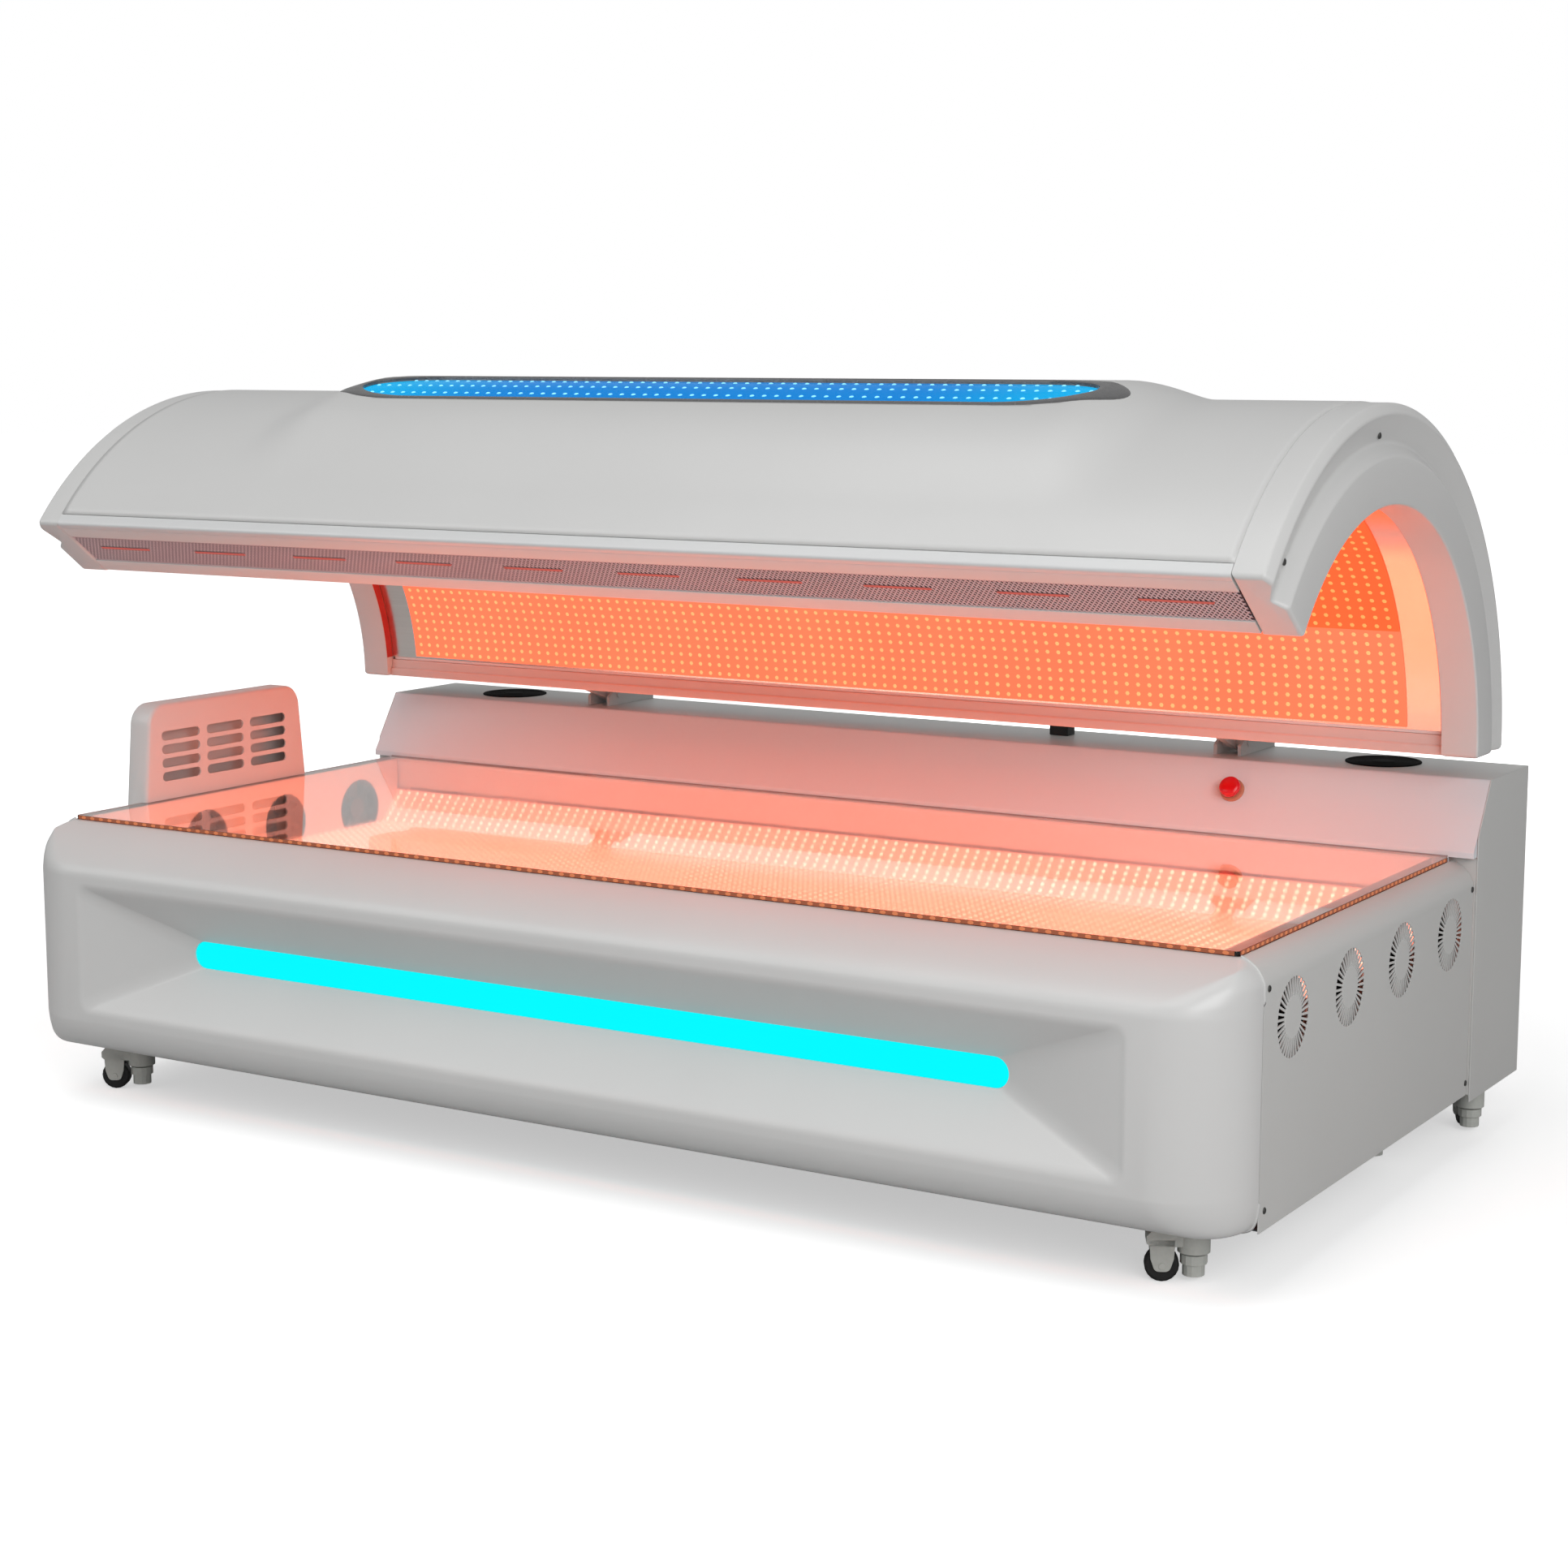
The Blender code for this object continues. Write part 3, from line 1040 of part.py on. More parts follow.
def build_canopy_rails(hinge, rail_material, strip_material):
    start = PIPE_END_DEG - FRONT_RAIL_DEG + math.degrees(GAP / PIPE_RADIUS)
    outer = PIPE_RADIUS + FRONT_RAIL_PROUD
    outline = [pipe_point(outer, start), pipe_point(outer, PIPE_END_DEG),
               pipe_point(FRONT_RAIL_INNER_RADIUS, PIPE_END_DEG), pipe_point(FRONT_RAIL_INNER_RADIUS, start)]
    rail = prism_mesh("front_rail", outline, 'X', -SHELL_HALF_LENGTH, SHELL_HALF_LENGTH)
    add_part("front_rail", rail, rail_material, hinge)

    # The vent strip lies in the radial front face, between the rail and the liner's lip
    bm = bmesh.new()
    inner = LIP_RADII[1] + GAP
    outer = FRONT_RAIL_INNER_RADIUS - GAP
    add_box(bm, (-SHELL_HALF_LENGTH, inner, -VENT_STRIP_SET_BACK - VENT_STRIP_THICKNESS),
            (SHELL_HALF_LENGTH, outer, -VENT_STRIP_SET_BACK))
    strip_place = Matrix.Translation((0, PIPE_Y, PIPE_Z)) @ Matrix.Rotation(math.radians(PIPE_END_DEG), 4, 'X')
    mesh = finish_mesh(bm, "front_vent_strip")
    mesh.transform(strip_place)
    strip = add_part("front_vent_strip", mesh, strip_material, hinge)
    slots = bmesh.new()
    length, height = VENT_STRIP_SLOT
    pitch = 2 * SHELL_HALF_LENGTH / VENT_STRIP_SLOTS
    middle = (inner + outer) / 2 + VENT_STRIP_SLOT_OUTWARD
    for i in range(VENT_STRIP_SLOTS):
        x = (i + 0.5) * pitch - SHELL_HALF_LENGTH
        add_box(slots, (x - length / 2, middle - height / 2, -VENT_STRIP_SET_BACK - 2 * VENT_STRIP_THICKNESS),
                (x + length / 2, middle + height / 2, VENT_STRIP_THICKNESS))
    cutter = finish_mesh(slots, "front_vent_slots")
    cutter.transform(strip_place)
    boolean(strip, add_cutter("front_vent_slots", cutter))

    wall = REAR_RAIL_WALL
    low = (-SHELL_HALF_LENGTH, PIPE_Y + REAR_RAIL_INNER_RADIUS, PIPE_Z + GAP)
    high = (SHELL_HALF_LENGTH, PIPE_Y + REAR_RAIL_OUTER_RADIUS, REAR_RAIL_TOP_Z)
    tube = add_part("rear_rail", box_mesh("rear_rail", low, high), rail_material, hinge)
    bore = box_mesh("rear_rail_bore", (low[0] - wall, low[1] + wall, low[2] + wall),
                    (high[0] + wall, high[1] - wall, high[2] - wall))
    boolean(tube, add_cutter("rear_rail_bore", bore))


# Canopy hinge and actuators

def crank_pin():
    """Crank pin's place from the hinge axis at rest, as (y, z)."""
    angle = math.radians(CRANK_START_DEG)
    return (CRANK_LENGTH * math.cos(angle), CRANK_LENGTH * math.sin(angle))


def rod_line_y():
    """Middle of the crank pin's small sideways swing: the actuator's line."""
    near = CRANK_LENGTH * math.cos(math.radians(CRANK_START_DEG))
    return HINGE_Y + (near + CRANK_LENGTH) / 2


def hinge_points(points):
    return [(HINGE_Y + y, HINGE_Z + z) for y, z in points]


def build_hinge_arms(hinge, material):
    top = PIPE_Z - HINGE_Z - GAP
    pin_y, pin_z = crank_pin()
    eye = arc((0, 0), EYE_RADIUS, 225, 270, 3)
    crank = arc((pin_y, pin_z), CRANK_EYE_RADIUS, -100, 80, 8)
    outline = hinge_points([(-ARM_FRONT, top), (-ARM_FRONT, top - ARM_FRONT_DEPTH)] + eye + crank
                           + [(EYE_RADIUS, EYE_RADIUS * 0.7), (-EYE_RADIUS * 0.5, top)])
    half = ARM_THICKNESS / 2
    reach = half + CLEVIS_WALL + GAP
    arm = add_part("hinge_arm", prism_mesh("hinge_arm", outline, 'X', -half, half), material)
    hole = bmesh.new()
    add_cylinder(hole, 'X', (HINGE_Y, HINGE_Z), PIN_RADIUS + GAP, -2 * half, 2 * half, SMALL_ROUND_STEPS)
    boolean(arm, add_cutter("hinge_arm_hole", finish_mesh(hole, "hinge_arm_hole")))
    pin = bmesh.new()
    add_cylinder(pin, 'X', (HINGE_Y + pin_y, HINGE_Z + pin_z), CRANK_PIN_RADIUS, -reach, reach, SMALL_ROUND_STEPS)
    boolean(arm, add_cutter("crank_pin", finish_mesh(pin, "crank_pin")), 'UNION')
    mesh = baked_mesh(arm, "hinge_arm")
    for end, side in ENDS:
        add_part("hinge_arm_" + end, mesh, material, hinge).location = (side * HINGE_X, 0, 0)


def build_hinge_brackets(material):
    """Two cheeks joined by a cross bar and by the fixed hinge pin with its spacer collars."""
    foot = DECK_Z + GAP - HINGE_Z
    crest = arc((0, 0), EYE_RADIUS, 135, 45, 6)
    outline = hinge_points([(-CHEEK_FRONT, foot), (-CHEEK_FRONT, foot + CHEEK_FRONT_HEIGHT)] + crest
                           + [(CHEEK_REAR, foot + CHEEK_REAR_HEIGHT), (CHEEK_REAR, foot)])
    outer = CHEEK_OFFSET + CHEEK_THICKNESS
    middle = CHEEK_OFFSET + CHEEK_THICKNESS / 2
    collar = ARM_THICKNESS / 2 + GAP
    cheeks = bmesh.new()
    collars = bmesh.new()
    for hand in (-1, 1):
        low, high = sorted((hand * CHEEK_OFFSET, hand * outer))
        add_prism(cheeks, outline, 'X', low, high)
        low, high = sorted((hand * collar, hand * middle))
        add_cylinder(collars, 'X', (HINGE_Y, HINGE_Z), PIN_RADIUS + 0.004, low, high, SMALL_ROUND_STEPS)
    pin = bmesh.new()
    add_cylinder(pin, 'X', (HINGE_Y, HINGE_Z), PIN_RADIUS, -outer - 0.002, outer + 0.002, SMALL_ROUND_STEPS)
    bar = bmesh.new()
    rear = HINGE_Y + CHEEK_REAR - 2 * GAP
    add_box(bar, (-middle, rear - CHEEK_BAR, HINGE_Z + foot + GAP),
            (middle, rear, HINGE_Z + foot + CHEEK_REAR_HEIGHT - GAP))
    bracket = add_part("hinge_bracket", finish_mesh(cheeks, "hinge_bracket"), material)
    boolean(bracket, add_cutter("bracket_bar", finish_mesh(bar, "bracket_bar")), 'UNION')
    boolean(bracket, add_cutter("bracket_collars", finish_mesh(collars, "bracket_collars")), 'UNION')
    boolean(bracket, add_cutter("bracket_pin", finish_mesh(pin, "bracket_pin")), 'UNION')
    mesh = baked_mesh(bracket, "hinge_bracket")
    for end, side in ENDS:
        add_part("hinge_bracket_" + end, mesh, material).location = (side * HINGE_X, 0, 0)


def build_actuators(tube_material, rod_material):
    """Upright linear actuators: a tube on the floor pan and a rod whose clevis holds the crank pin."""
    low = PAN_Z + PAN_THICKNESS + GAP
    pin_z = HINGE_Z + crank_pin()[1]
    half = ARM_THICKNESS / 2 + GAP
    wide = half + CLEVIS_WALL
    top = pin_z + CRANK_EYE_RADIUS
    body = bmesh.new()
    add_cylinder(body, 'Z', (0, 0), ACTUATOR_RADIUS, low, ACTUATOR_TOP_Z)
    bore = bmesh.new()
    add_cylinder(bore, 'Z', (0, 0), ROD_RADIUS + GAP, ROD_FOOT_Z - GAP, ACTUATOR_TOP_Z + GAP, SMALL_ROUND_STEPS)
    tube = add_part("actuator_tube", finish_mesh(body, "actuator_tube"), tube_material)
    boolean(tube, add_cutter("actuator_bore", finish_mesh(bore, "actuator_bore")))
    tube_mesh = baked_mesh(tube, "actuator_tube")
    stem = bmesh.new()
    add_cylinder(stem, 'Z', (0, 0), ROD_RADIUS, ROD_FOOT_Z, CLEVIS_FOOT_Z + GAP, SMALL_ROUND_STEPS)
    fork = box_mesh("rod_fork", (-wide, -CLEVIS_HALF_WIDTH, CLEVIS_FOOT_Z), (wide, CLEVIS_HALF_WIDTH, top))
    slot = box_mesh("rod_slot", (-half, -2 * CLEVIS_HALF_WIDTH, CLEVIS_FOOT_Z + CLEVIS_BRIDGE),
                    (half, 2 * CLEVIS_HALF_WIDTH, top + CLEVIS_BRIDGE))
    hole = bmesh.new()
    add_cylinder(hole, 'X', (0, pin_z), CRANK_PIN_RADIUS + CRANK_PIN_PLAY, -2 * wide, 2 * wide, SMALL_ROUND_STEPS)
    rod = add_part("actuator_rod", finish_mesh(stem, "actuator_rod"), rod_material)
    boolean(rod, add_cutter("rod_fork", fork), 'UNION')
    boolean(rod, add_cutter("rod_slot", slot))
    boolean(rod, add_cutter("rod_hole", finish_mesh(hole, "rod_hole")))
    rod_mesh = baked_mesh(rod, "actuator_rod")
    for end, side in ENDS:
        place = (side * HINGE_X, rod_line_y(), 0)
        add_part("actuator_tube_" + end, tube_mesh, tube_material, smooth=True).location = place
        add_part("actuator_rod_" + end, rod_mesh, rod_material, smooth=True).location = place


# Casters

def caster_places():
    """Name, stem place and trail direction of each caster."""
    places = []
    for end, side in ENDS:
        places.append(("caster_front_" + end, (side * CASTER_X, CASTER_FRONT_Y), CASTER_TRAIL_DEG))
        places.append(("caster_middle_" + end, (side * CASTER_X, CASTER_MIDDLE_Y), CASTER_TRAIL_DEG))
        rear_trail = 90 + side * (CASTER_REAR_TRAIL_DEG - 90)
        places.append(("caster_rear_" + end, (side * CASTER_REAR_X, CASTER_REAR_Y), rear_trail))
    return places


def caster_housing_mesh(material):
    """Housing in its own frame: stem at the origin, wheel axle at +X by the trail."""
    half = HOUSING_HALF_WIDTH
    nose = CASTER_TRAIL + HOUSING_NOSE
    axle_x = CASTER_TRAIL
    outline = [(0.0, COLUMN_FOOT_Z + GAP), (axle_x - 0.022, HOUSING_CHEEK_Z + 0.020), (axle_x - 0.010, HOUSING_CHEEK_Z),
               (axle_x + 0.008, HOUSING_CHEEK_Z), (nose, HOUSING_CHEEK_Z + 0.018), (nose, HOUSING_TOP_Z - 0.018),
               (nose - 0.014, HOUSING_TOP_Z - GAP), (0.0, HOUSING_TOP_Z - GAP)]
    item = add_part("caster_housing", prism_mesh("caster_housing", outline, 'Y', -half, half), material)
    column = bmesh.new()
    add_cylinder(column, 'Z', (0, 0), COLUMN_RADIUS, COLUMN_FOOT_Z, HOUSING_TOP_Z, WHEEL_STEPS)
    boolean(item, add_cutter("caster_column", finish_mesh(column, "caster_column")), 'UNION')
    swivel = bmesh.new()
    add_cylinder(swivel, 'Z', (0, 0), SWIVEL_RADIUS, HOUSING_TOP_Z - 2 * GAP, CASTER_PLATE_Z - GAP, SMALL_ROUND_STEPS)
    boolean(item, add_cutter("caster_swivel", finish_mesh(swivel, "caster_swivel")), 'UNION')
    wheel = bmesh.new()
    room = WHEEL_WIDTH / 2 + WHEEL_CLEARANCE / 2
    add_cylinder(wheel, 'Y', (axle_x, WHEEL_RADIUS), WHEEL_RADIUS + WHEEL_CLEARANCE, -room, room, WHEEL_STEPS)
    boolean(item, add_cutter("caster_wheel_arch", finish_mesh(wheel, "caster_wheel_arch")))
    axle = bmesh.new()
    add_cylinder(axle, 'Y', (axle_x, WHEEL_RADIUS), AXLE_RADIUS, -half + 0.002, half - 0.002, SMALL_ROUND_STEPS)
    boolean(item, add_cutter("caster_axle", finish_mesh(axle, "caster_axle")), 'UNION')
    well_radius = PAD_RADIUS + PANEL_GAP
    well_top = COLUMN_FOOT_Z + PANEL_WALL / 2
    bore = PAD_STUD_RADIUS + GAP
    well = turned_mesh("caster_pad_well", [(0, PAD_STUD_TOP_Z + GAP), (bore, PAD_STUD_TOP_Z + GAP), (bore, well_top),
                                           (well_radius, well_top), (well_radius, 0), (0, 0)], SMALL_ROUND_STEPS)
    boolean(item, add_cutter("caster_pad_well", well))
    return baked_mesh(item, "caster_housing")


def caster_wheel_mesh():
    """Wheel about its own centre, axle along Y."""
    half = WHEEL_WIDTH / 2
    bore = AXLE_RADIUS + GAP
    profile = [(bore, half), (WHEEL_RADIUS - WHEEL_EDGE, half), (WHEEL_RADIUS, half - WHEEL_EDGE),
               (WHEEL_RADIUS, -half + WHEEL_EDGE), (WHEEL_RADIUS - WHEEL_EDGE, -half), (bore, -half)]
    mesh = turned_mesh("caster_wheel", profile, WHEEL_STEPS, ring=True)
    mesh.transform(Matrix.Rotation(math.pi / 2, 4, 'X'))
    return mesh


def caster_pad_mesh():
    profile = [(0, PAD_STUD_TOP_Z), (PAD_STUD_RADIUS, PAD_STUD_TOP_Z), (PAD_STUD_RADIUS, PAD_TOP_Z),
               (PAD_RADIUS, PAD_TOP_Z), (PAD_RADIUS, PAD_STEP_Z), (PAD_FOOT_RADIUS, PAD_STEP_Z),
               (PAD_FOOT_RADIUS, PAD_FOOT_Z), (0, PAD_FOOT_Z)]
    return turned_mesh("caster_pad", profile, SMALL_ROUND_STEPS)


def build_casters(housing_material, wheel_material, pad_material):
    housing_mesh = caster_housing_mesh(housing_material)
    wheel_mesh = caster_wheel_mesh()
    pad_mesh = caster_pad_mesh()
    for name, (x, y), trail_deg in caster_places():
        stem = add_axis(name + "_stem", (x, y, 0), math.radians(trail_deg))
        for suffix, mesh, material, place in (
                ("_housing", housing_mesh, housing_material, (0, 0, 0)),
                ("_wheel", wheel_mesh, wheel_material, (CASTER_TRAIL, 0, WHEEL_RADIUS)),
                ("_pad", pad_mesh, pad_material, (0, 0, 0))):
            piece = add_part(name + suffix, mesh, material, smooth=True)
            piece.parent = stem
            piece.location = place


# The bed

clear_scene()
PARTS = make_collection(OBJECT_NAME)
CUTTERS = make_collection("cutters")

white_moulding = make_material("white_moulding", "D9D9D7", 0.35)
white_panel = make_material("white_painted_steel", "D4D4D2", 0.40)
inner_white = make_material("white_reflector", "E8E2DE", 0.45)
clear_acrylic = make_material("clear_acrylic", "FFE9E0", 0.05, alpha=0.25)
cyan_diffuser = make_material("lit_cyan_diffuser", "00F4FF", 0.30)
red_board = make_material("lit_red_board", "FF7A45", 0.45)
blue_board = make_material("lit_blue_board", "1E9FE0", 0.40)
smoked_pane = make_material("clear_pane", "BFE6FF", 0.08, alpha=0.35)
grey_bezel = make_material("grey_bezel", "5A5A5A", 0.35)
aluminium = make_material("anodised_aluminium", "D8DADA", 0.30, metallic=1.0)
vent_mesh = make_material("perforated_steel", "8F7478", 0.45, metallic=0.4)
black_plastic = make_material("black_plastic", "141414", 0.50)
red_plastic = make_material("red_plastic", "D4061C", 0.20)
plated_steel = make_material("plated_steel", "9A9C9C", 0.35, metallic=1.0)
dark_steel = make_material("painted_dark_steel", "50545A", 0.50)
caster_grey = make_material("grey_nylon", "83867E", 0.55)
black_rubber = make_material("black_rubber", "101010", 0.70)

canopy_hinge = add_axis("canopy_hinge_axis", (0, HINGE_Y, HINGE_Z))

build_front_shell(white_moulding)
build_light_bar(cyan_diffuser)
build_end_panel("foot_end_panel", 1, white_panel)
build_end_panel("head_end_panel", -1, white_panel)
build_tray(inner_white)
build_fans(black_plastic, dark_steel)
build_lower_boards(red_board)
build_acrylic(clear_acrylic)
build_console(white_panel)
build_cabinet_wrap(white_panel)
build_deck_fittings(black_plastic, black_rubber, black_plastic)
build_button(black_plastic, red_plastic)
build_chassis(dark_steel, plated_steel)
build_head_vent(white_moulding)
build_canopy_skin(canopy_hinge, white_moulding, grey_bezel, smoked_pane, blue_board)
build_end_cap("canopy_end_cap_foot", 1, canopy_hinge, white_moulding)
build_end_cap("canopy_end_cap_head", -1, canopy_hinge, white_moulding)
build_liner(canopy_hinge, inner_white, red_board)
build_canopy_rails(canopy_hinge, aluminium, vent_mesh)
build_hinge_arms(canopy_hinge, plated_steel)
build_hinge_brackets(plated_steel)
build_actuators(dark_steel, plated_steel)
build_casters(caster_grey, black_rubber, caster_grey)
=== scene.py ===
"""Looks of a red light therapy bed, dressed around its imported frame.

Metres, in the frame's own axes: +X towards the foot end, +Y towards the rear cabinet, +Z up.
"""

import math

import bmesh
import bpy
from mathutils import Matrix, Vector


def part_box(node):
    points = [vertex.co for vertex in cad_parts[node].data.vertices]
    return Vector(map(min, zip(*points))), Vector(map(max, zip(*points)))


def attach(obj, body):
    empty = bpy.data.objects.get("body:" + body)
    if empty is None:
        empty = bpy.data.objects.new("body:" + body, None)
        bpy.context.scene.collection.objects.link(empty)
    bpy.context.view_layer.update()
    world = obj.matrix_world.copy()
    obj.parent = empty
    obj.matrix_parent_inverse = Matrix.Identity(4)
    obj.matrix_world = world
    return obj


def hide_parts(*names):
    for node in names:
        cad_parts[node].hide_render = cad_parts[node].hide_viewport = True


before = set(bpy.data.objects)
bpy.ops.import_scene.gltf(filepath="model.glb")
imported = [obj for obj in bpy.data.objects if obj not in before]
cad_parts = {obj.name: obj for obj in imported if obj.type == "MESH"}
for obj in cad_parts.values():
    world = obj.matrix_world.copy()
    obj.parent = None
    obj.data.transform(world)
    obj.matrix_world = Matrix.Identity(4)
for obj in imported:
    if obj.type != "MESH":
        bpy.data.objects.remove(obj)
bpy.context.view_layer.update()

# Bed base
BASE_HALF_LENGTH = 1.100
FRONT_Y = -0.605
SKIRT_Z = 0.0985
BED_TOP_Z = 0.480
SEAM_Y = -0.4905
SEAM_GAP = 0.0012           # the dark line between the front moulding and the end panels
CORNER_WIDTH = 0.122        # plan of the front corners, along the bed and across it
CORNER_DEPTH = 0.112
CORNER_TIGHTENING = 1.5     # the corner tightens as the shoulder and the skirt draw back
CORNER_LEAST = 0.010
FACE_LOW_Z = 0.158
FACE_HIGH_Z = 0.400
MOULDING_WALL = 0.003
PANEL_WALL = 0.002

# Skirt, as heights over its edge, and shoulder, as heights under its top; each height with the set-back at
# the ends and at the front. The skirt's lip is turned in at its edge.
SKIRT_LIP = (0.045, 0.100)
SKIRT_CURVE = ((0.000, 0.028, 0.060), (0.005, 0.013, 0.038), (0.017, 0.005, 0.019), (0.037, 0.001, 0.006))
SHOULDER_TOP_Z = 0.478
SHOULDER_CURVE = ((0.066, 0.000, 0.003), (0.054, 0.000, 0.012), (0.038, 0.001, 0.0345),
                  (0.022, 0.009, 0.0635), (0.0115, 0.0205, 0.0885), (0.0045, 0.0345, 0.1095))
CURVE_STEPS = 4

# Recess and light bar
LIP_HALF_LENGTH = 0.958
LIP_LOW_Z = 0.168
LIP_HIGH_Z = 0.392
LIP_WIDTH = 0.012
LIP_DROP = 0.003
LIP_CORNER_RADIUS = 0.020
RECESS_DEPTH = 0.063
BAR_HALF_LENGTH = 0.751
BAR_HEIGHT = 0.045
BAR_Z = 0.282
BAR_THICKNESS = 0.012

# Lower light tray
TRAY_FLOOR_Z = 0.357
TRAY_MIDDLE_Y = -0.080
TRAY_FLOOR_HALF_WIDTH = 0.360
TRAY_SLOPE_RUN = 0.050
TRAY_SLOPE_RISE = 0.055
TRAY_SLOPE_ROWS = 6
TRAY_HALF_LENGTH = 1.0382

# Ring vents in the end panels
VENT_YS = [-0.385 + 0.2133 * i for i in range(4)]
VENT_Z = 0.375
VENT_OUTER_RADIUS = 0.056
VENT_INNER_RADIUS = 0.030
VENT_BARS = 36
VENT_BAR_WIDTH = 0.0034
PANEL_SCREWS = ((-0.474, 0.431), (0.353, 0.430), (0.353, 0.119), (-0.472, 0.127))
PANEL_SCREW_RADIUS = 0.0048

# Rear cabinet
COVER_FRONT_Y = 0.3602
DECK_Z = 0.596
CONSOLE_LINE = ((0.335, 0.417), (0.337, 0.4717), (0.3455, 0.4717), (0.345, 0.489), (0.413, DECK_Z),
                (0.6002, DECK_Z))
CONSOLE_FOOT_HALF_LENGTH = 1.0625
CONSOLE_FOLDS = (0, 0.001, 0.001, 0.004, 0.006, 0)
CONSOLE_FLANGE = ((0.3470, BED_TOP_Z), (0.3600, BED_TOP_Z), (0.3600, 0.5100), (0.3590, 0.5090),
                  (0.3470, 0.4900))
CABINET_RETURN_XS = (1.030, 1.1032)
DECK_SLOT_X = 0.642
DECK_SLOT_HALF_WIDTH = 0.016
DECK_SLOT_YS = (0.515, 0.592)
SPEAKER_X = 0.890
SPEAKER_Y = 0.517
SPEAKER_RADIUS = 0.062
BUTTON_PLACE = (0.6825, 0.38308, 0.54892)
BUTTON_UP = (0.0, 0.536357, 0.843992)
BUTTON_OUT = (0.0, -0.843992, 0.536357)
BUTTON_HOLE_RADIUS = 0.0113
BUTTON_RADIUS = 0.0175
BUTTON_RIM = 0.0060         # height of the button's upright rim, under its dome
BUTTON_FOOT = 0.0113
BUTTON_HEIGHT = 0.013
COLLAR_RADIUS = 0.020
COLLAR_HEIGHT = 0.006

# Head vent box
VENT_BOX_BACK_X = -1.098
VENT_BOX_FRONT_X = -1.050
VENT_BOX_FOOT = (-0.342, 0.085)
VENT_BOX_HEAD = (-0.326, 0.068)
VENT_BOX_TOP_Z = 0.650
VENT_BOX_CORNER = 0.038
VENT_BOX_LOW_Z = 0.440
VENT_BOX_WALL = 0.003
VENT_BOX_SLOT = (0.096, 0.0174)
VENT_BOX_PITCH = (0.113, 0.0242)
VENT_BOX_GRILLE = (-0.135, 0.557)

# Acrylic bed sheet
ACRYLIC_HALF_LENGTH = 1.0635
ACRYLIC_FRONT_Y = -0.493
ACRYLIC_REAR_Y = 0.3445
ACRYLIC_LOW_Z = 0.472

# Canopy: a half pipe about an axis along X, angles measured up from the rear
PIPE_Y = -0.085
PIPE_Z = 0.640
PIPE_RADIUS = 0.550
PIPE_END_DEG = 142.4
SHELL_HALF_LENGTH = 1.0515
SHELL_END_DEG = 140.2
SHELL_WALL = 0.004
SKIN_RADIUS = 0.554
CROWN_X = 0.030             # the crown sits a little towards the foot
CROWN_RISE = 0.027
CROWN_FLAT_X = 0.665
CROWN_END_X = 0.800
CROWN_FLAT_DEG = 23.0
CROWN_END_DEG = 42.0
WINDOW_Y = -0.200
WINDOW_HALF_LENGTH = 0.7225
WINDOW_HALF_WIDTH = 0.082
WINDOW_END_LENGTH = 0.170
BEZEL_WIDTH = 0.010
BEZEL_TIP_SHARE = 4.8       # the bezel is this much wider at the two tips
BOARD_OVERLAP = 0.006
CAP_PROFILE = ((1.0515, 0.410), (1.110, 0.410), (1.110, 0.478), (1.090, 0.497), (1.107, 0.538),
               (1.097, 0.5525), (1.0515, 0.5525))
CAP_ROUNDS = (0.0005, 0.004, 0.008, 0.010, 0.007, 0.007, 0.0003)
CAP_END_ROUND = 0.007
CAP_SCREWS = ((0.508, 93.0), (0.508, 136.0))
CAP_SCREW_X = 1.0955
CAP_SCREW_RADIUS = 0.0050
RAIL_RADII = (0.5150, 0.5535)
RAIL_BRIGHT_DEPTH = 0.0130
REAR_SEAL = ((0.3405, 0.6725), (0.3430, 0.6725), (0.3430, 0.6770), (0.3412, 0.6770))
REAR_SEAL_HALF_LENGTH = 1.045
LINER_RADIUS = 0.4275
LINER_WALL = 0.002
LINER_START_DEG = 5.0
LINER_END_DEG = 138.0
LINER_STRIPS = 6
LINER_LIP_RADII = (0.4150, 0.4440)
LINER_LIP_START_DEG = 139.3
LINER_SEAL_RADII = (0.4110, 0.4268)
BOARD_HALF_LENGTH = 0.990
BOARD_THICKNESS = 0.003
VENT_STRIP_SET_BACK = 0.0015
VENT_STRIP_SLOTS = 10
VENT_STRIP_SLOT_PITCH = 0.2115
VENT_STRIP_SLOT = (0.110, 0.0050)
VENT_STRIP_SLOT_RADIUS = 0.4835
MESH_PITCH = (0.0075, 0.0100)
MESH_STRAND = 0.0026
MESH_THICKNESS = 0.0006
VENT_STRIP_RIB = 0.004

# Light dots, spaced as counted along the lit boards
DOT_PITCH_ALONG = 0.0201
DOT_PITCH_ACROSS = 0.0167
DOT_RADIUS = 0.0039
DOT_HEIGHT = 0.0012
BLUE_DOT_PITCH = 0.0220
BLUE_DOT_ROWS = (-0.034, 0.011, 0.056)
BLUE_DOT_RADIUS = 0.0040

# Levelling casters: points are (distance from the pad's axis, height)
CASTER_ROWS = ("front", "middle", "rear")
COLUMN_FOOT_Z = 0.042       # bottom of the column, round the pad
CASTER_PLATE = ((0.0300, 0.0825), (0.0320, 0.0840), (0.0320, 0.0950), (0.0300, 0.0965))
CASTER_COLUMN = ((0.0196, 0.0600), (0.0196, COLUMN_FOOT_Z), (0.0228, COLUMN_FOOT_Z), (0.0228, 0.0800),
                 (0.0200, 0.0830))
CASTER_WEB = ((-0.018, 0.083), (0.050, 0.083), (0.066, 0.066), (0.066, 0.0560), (0.060, 0.0515),
              (0.018, 0.0515), (-0.018, 0.066))
CASTER_WEB_ROUNDS = (0.002, 0.010, 0.004, 0.003, 0.002, 0.004, 0.004)
CASTER_ARM = ((0.026, 0.062), (0.062, 0.062), (0.060, 0.034), (0.054, 0.016), (0.034, 0.016), (0.028, 0.034))
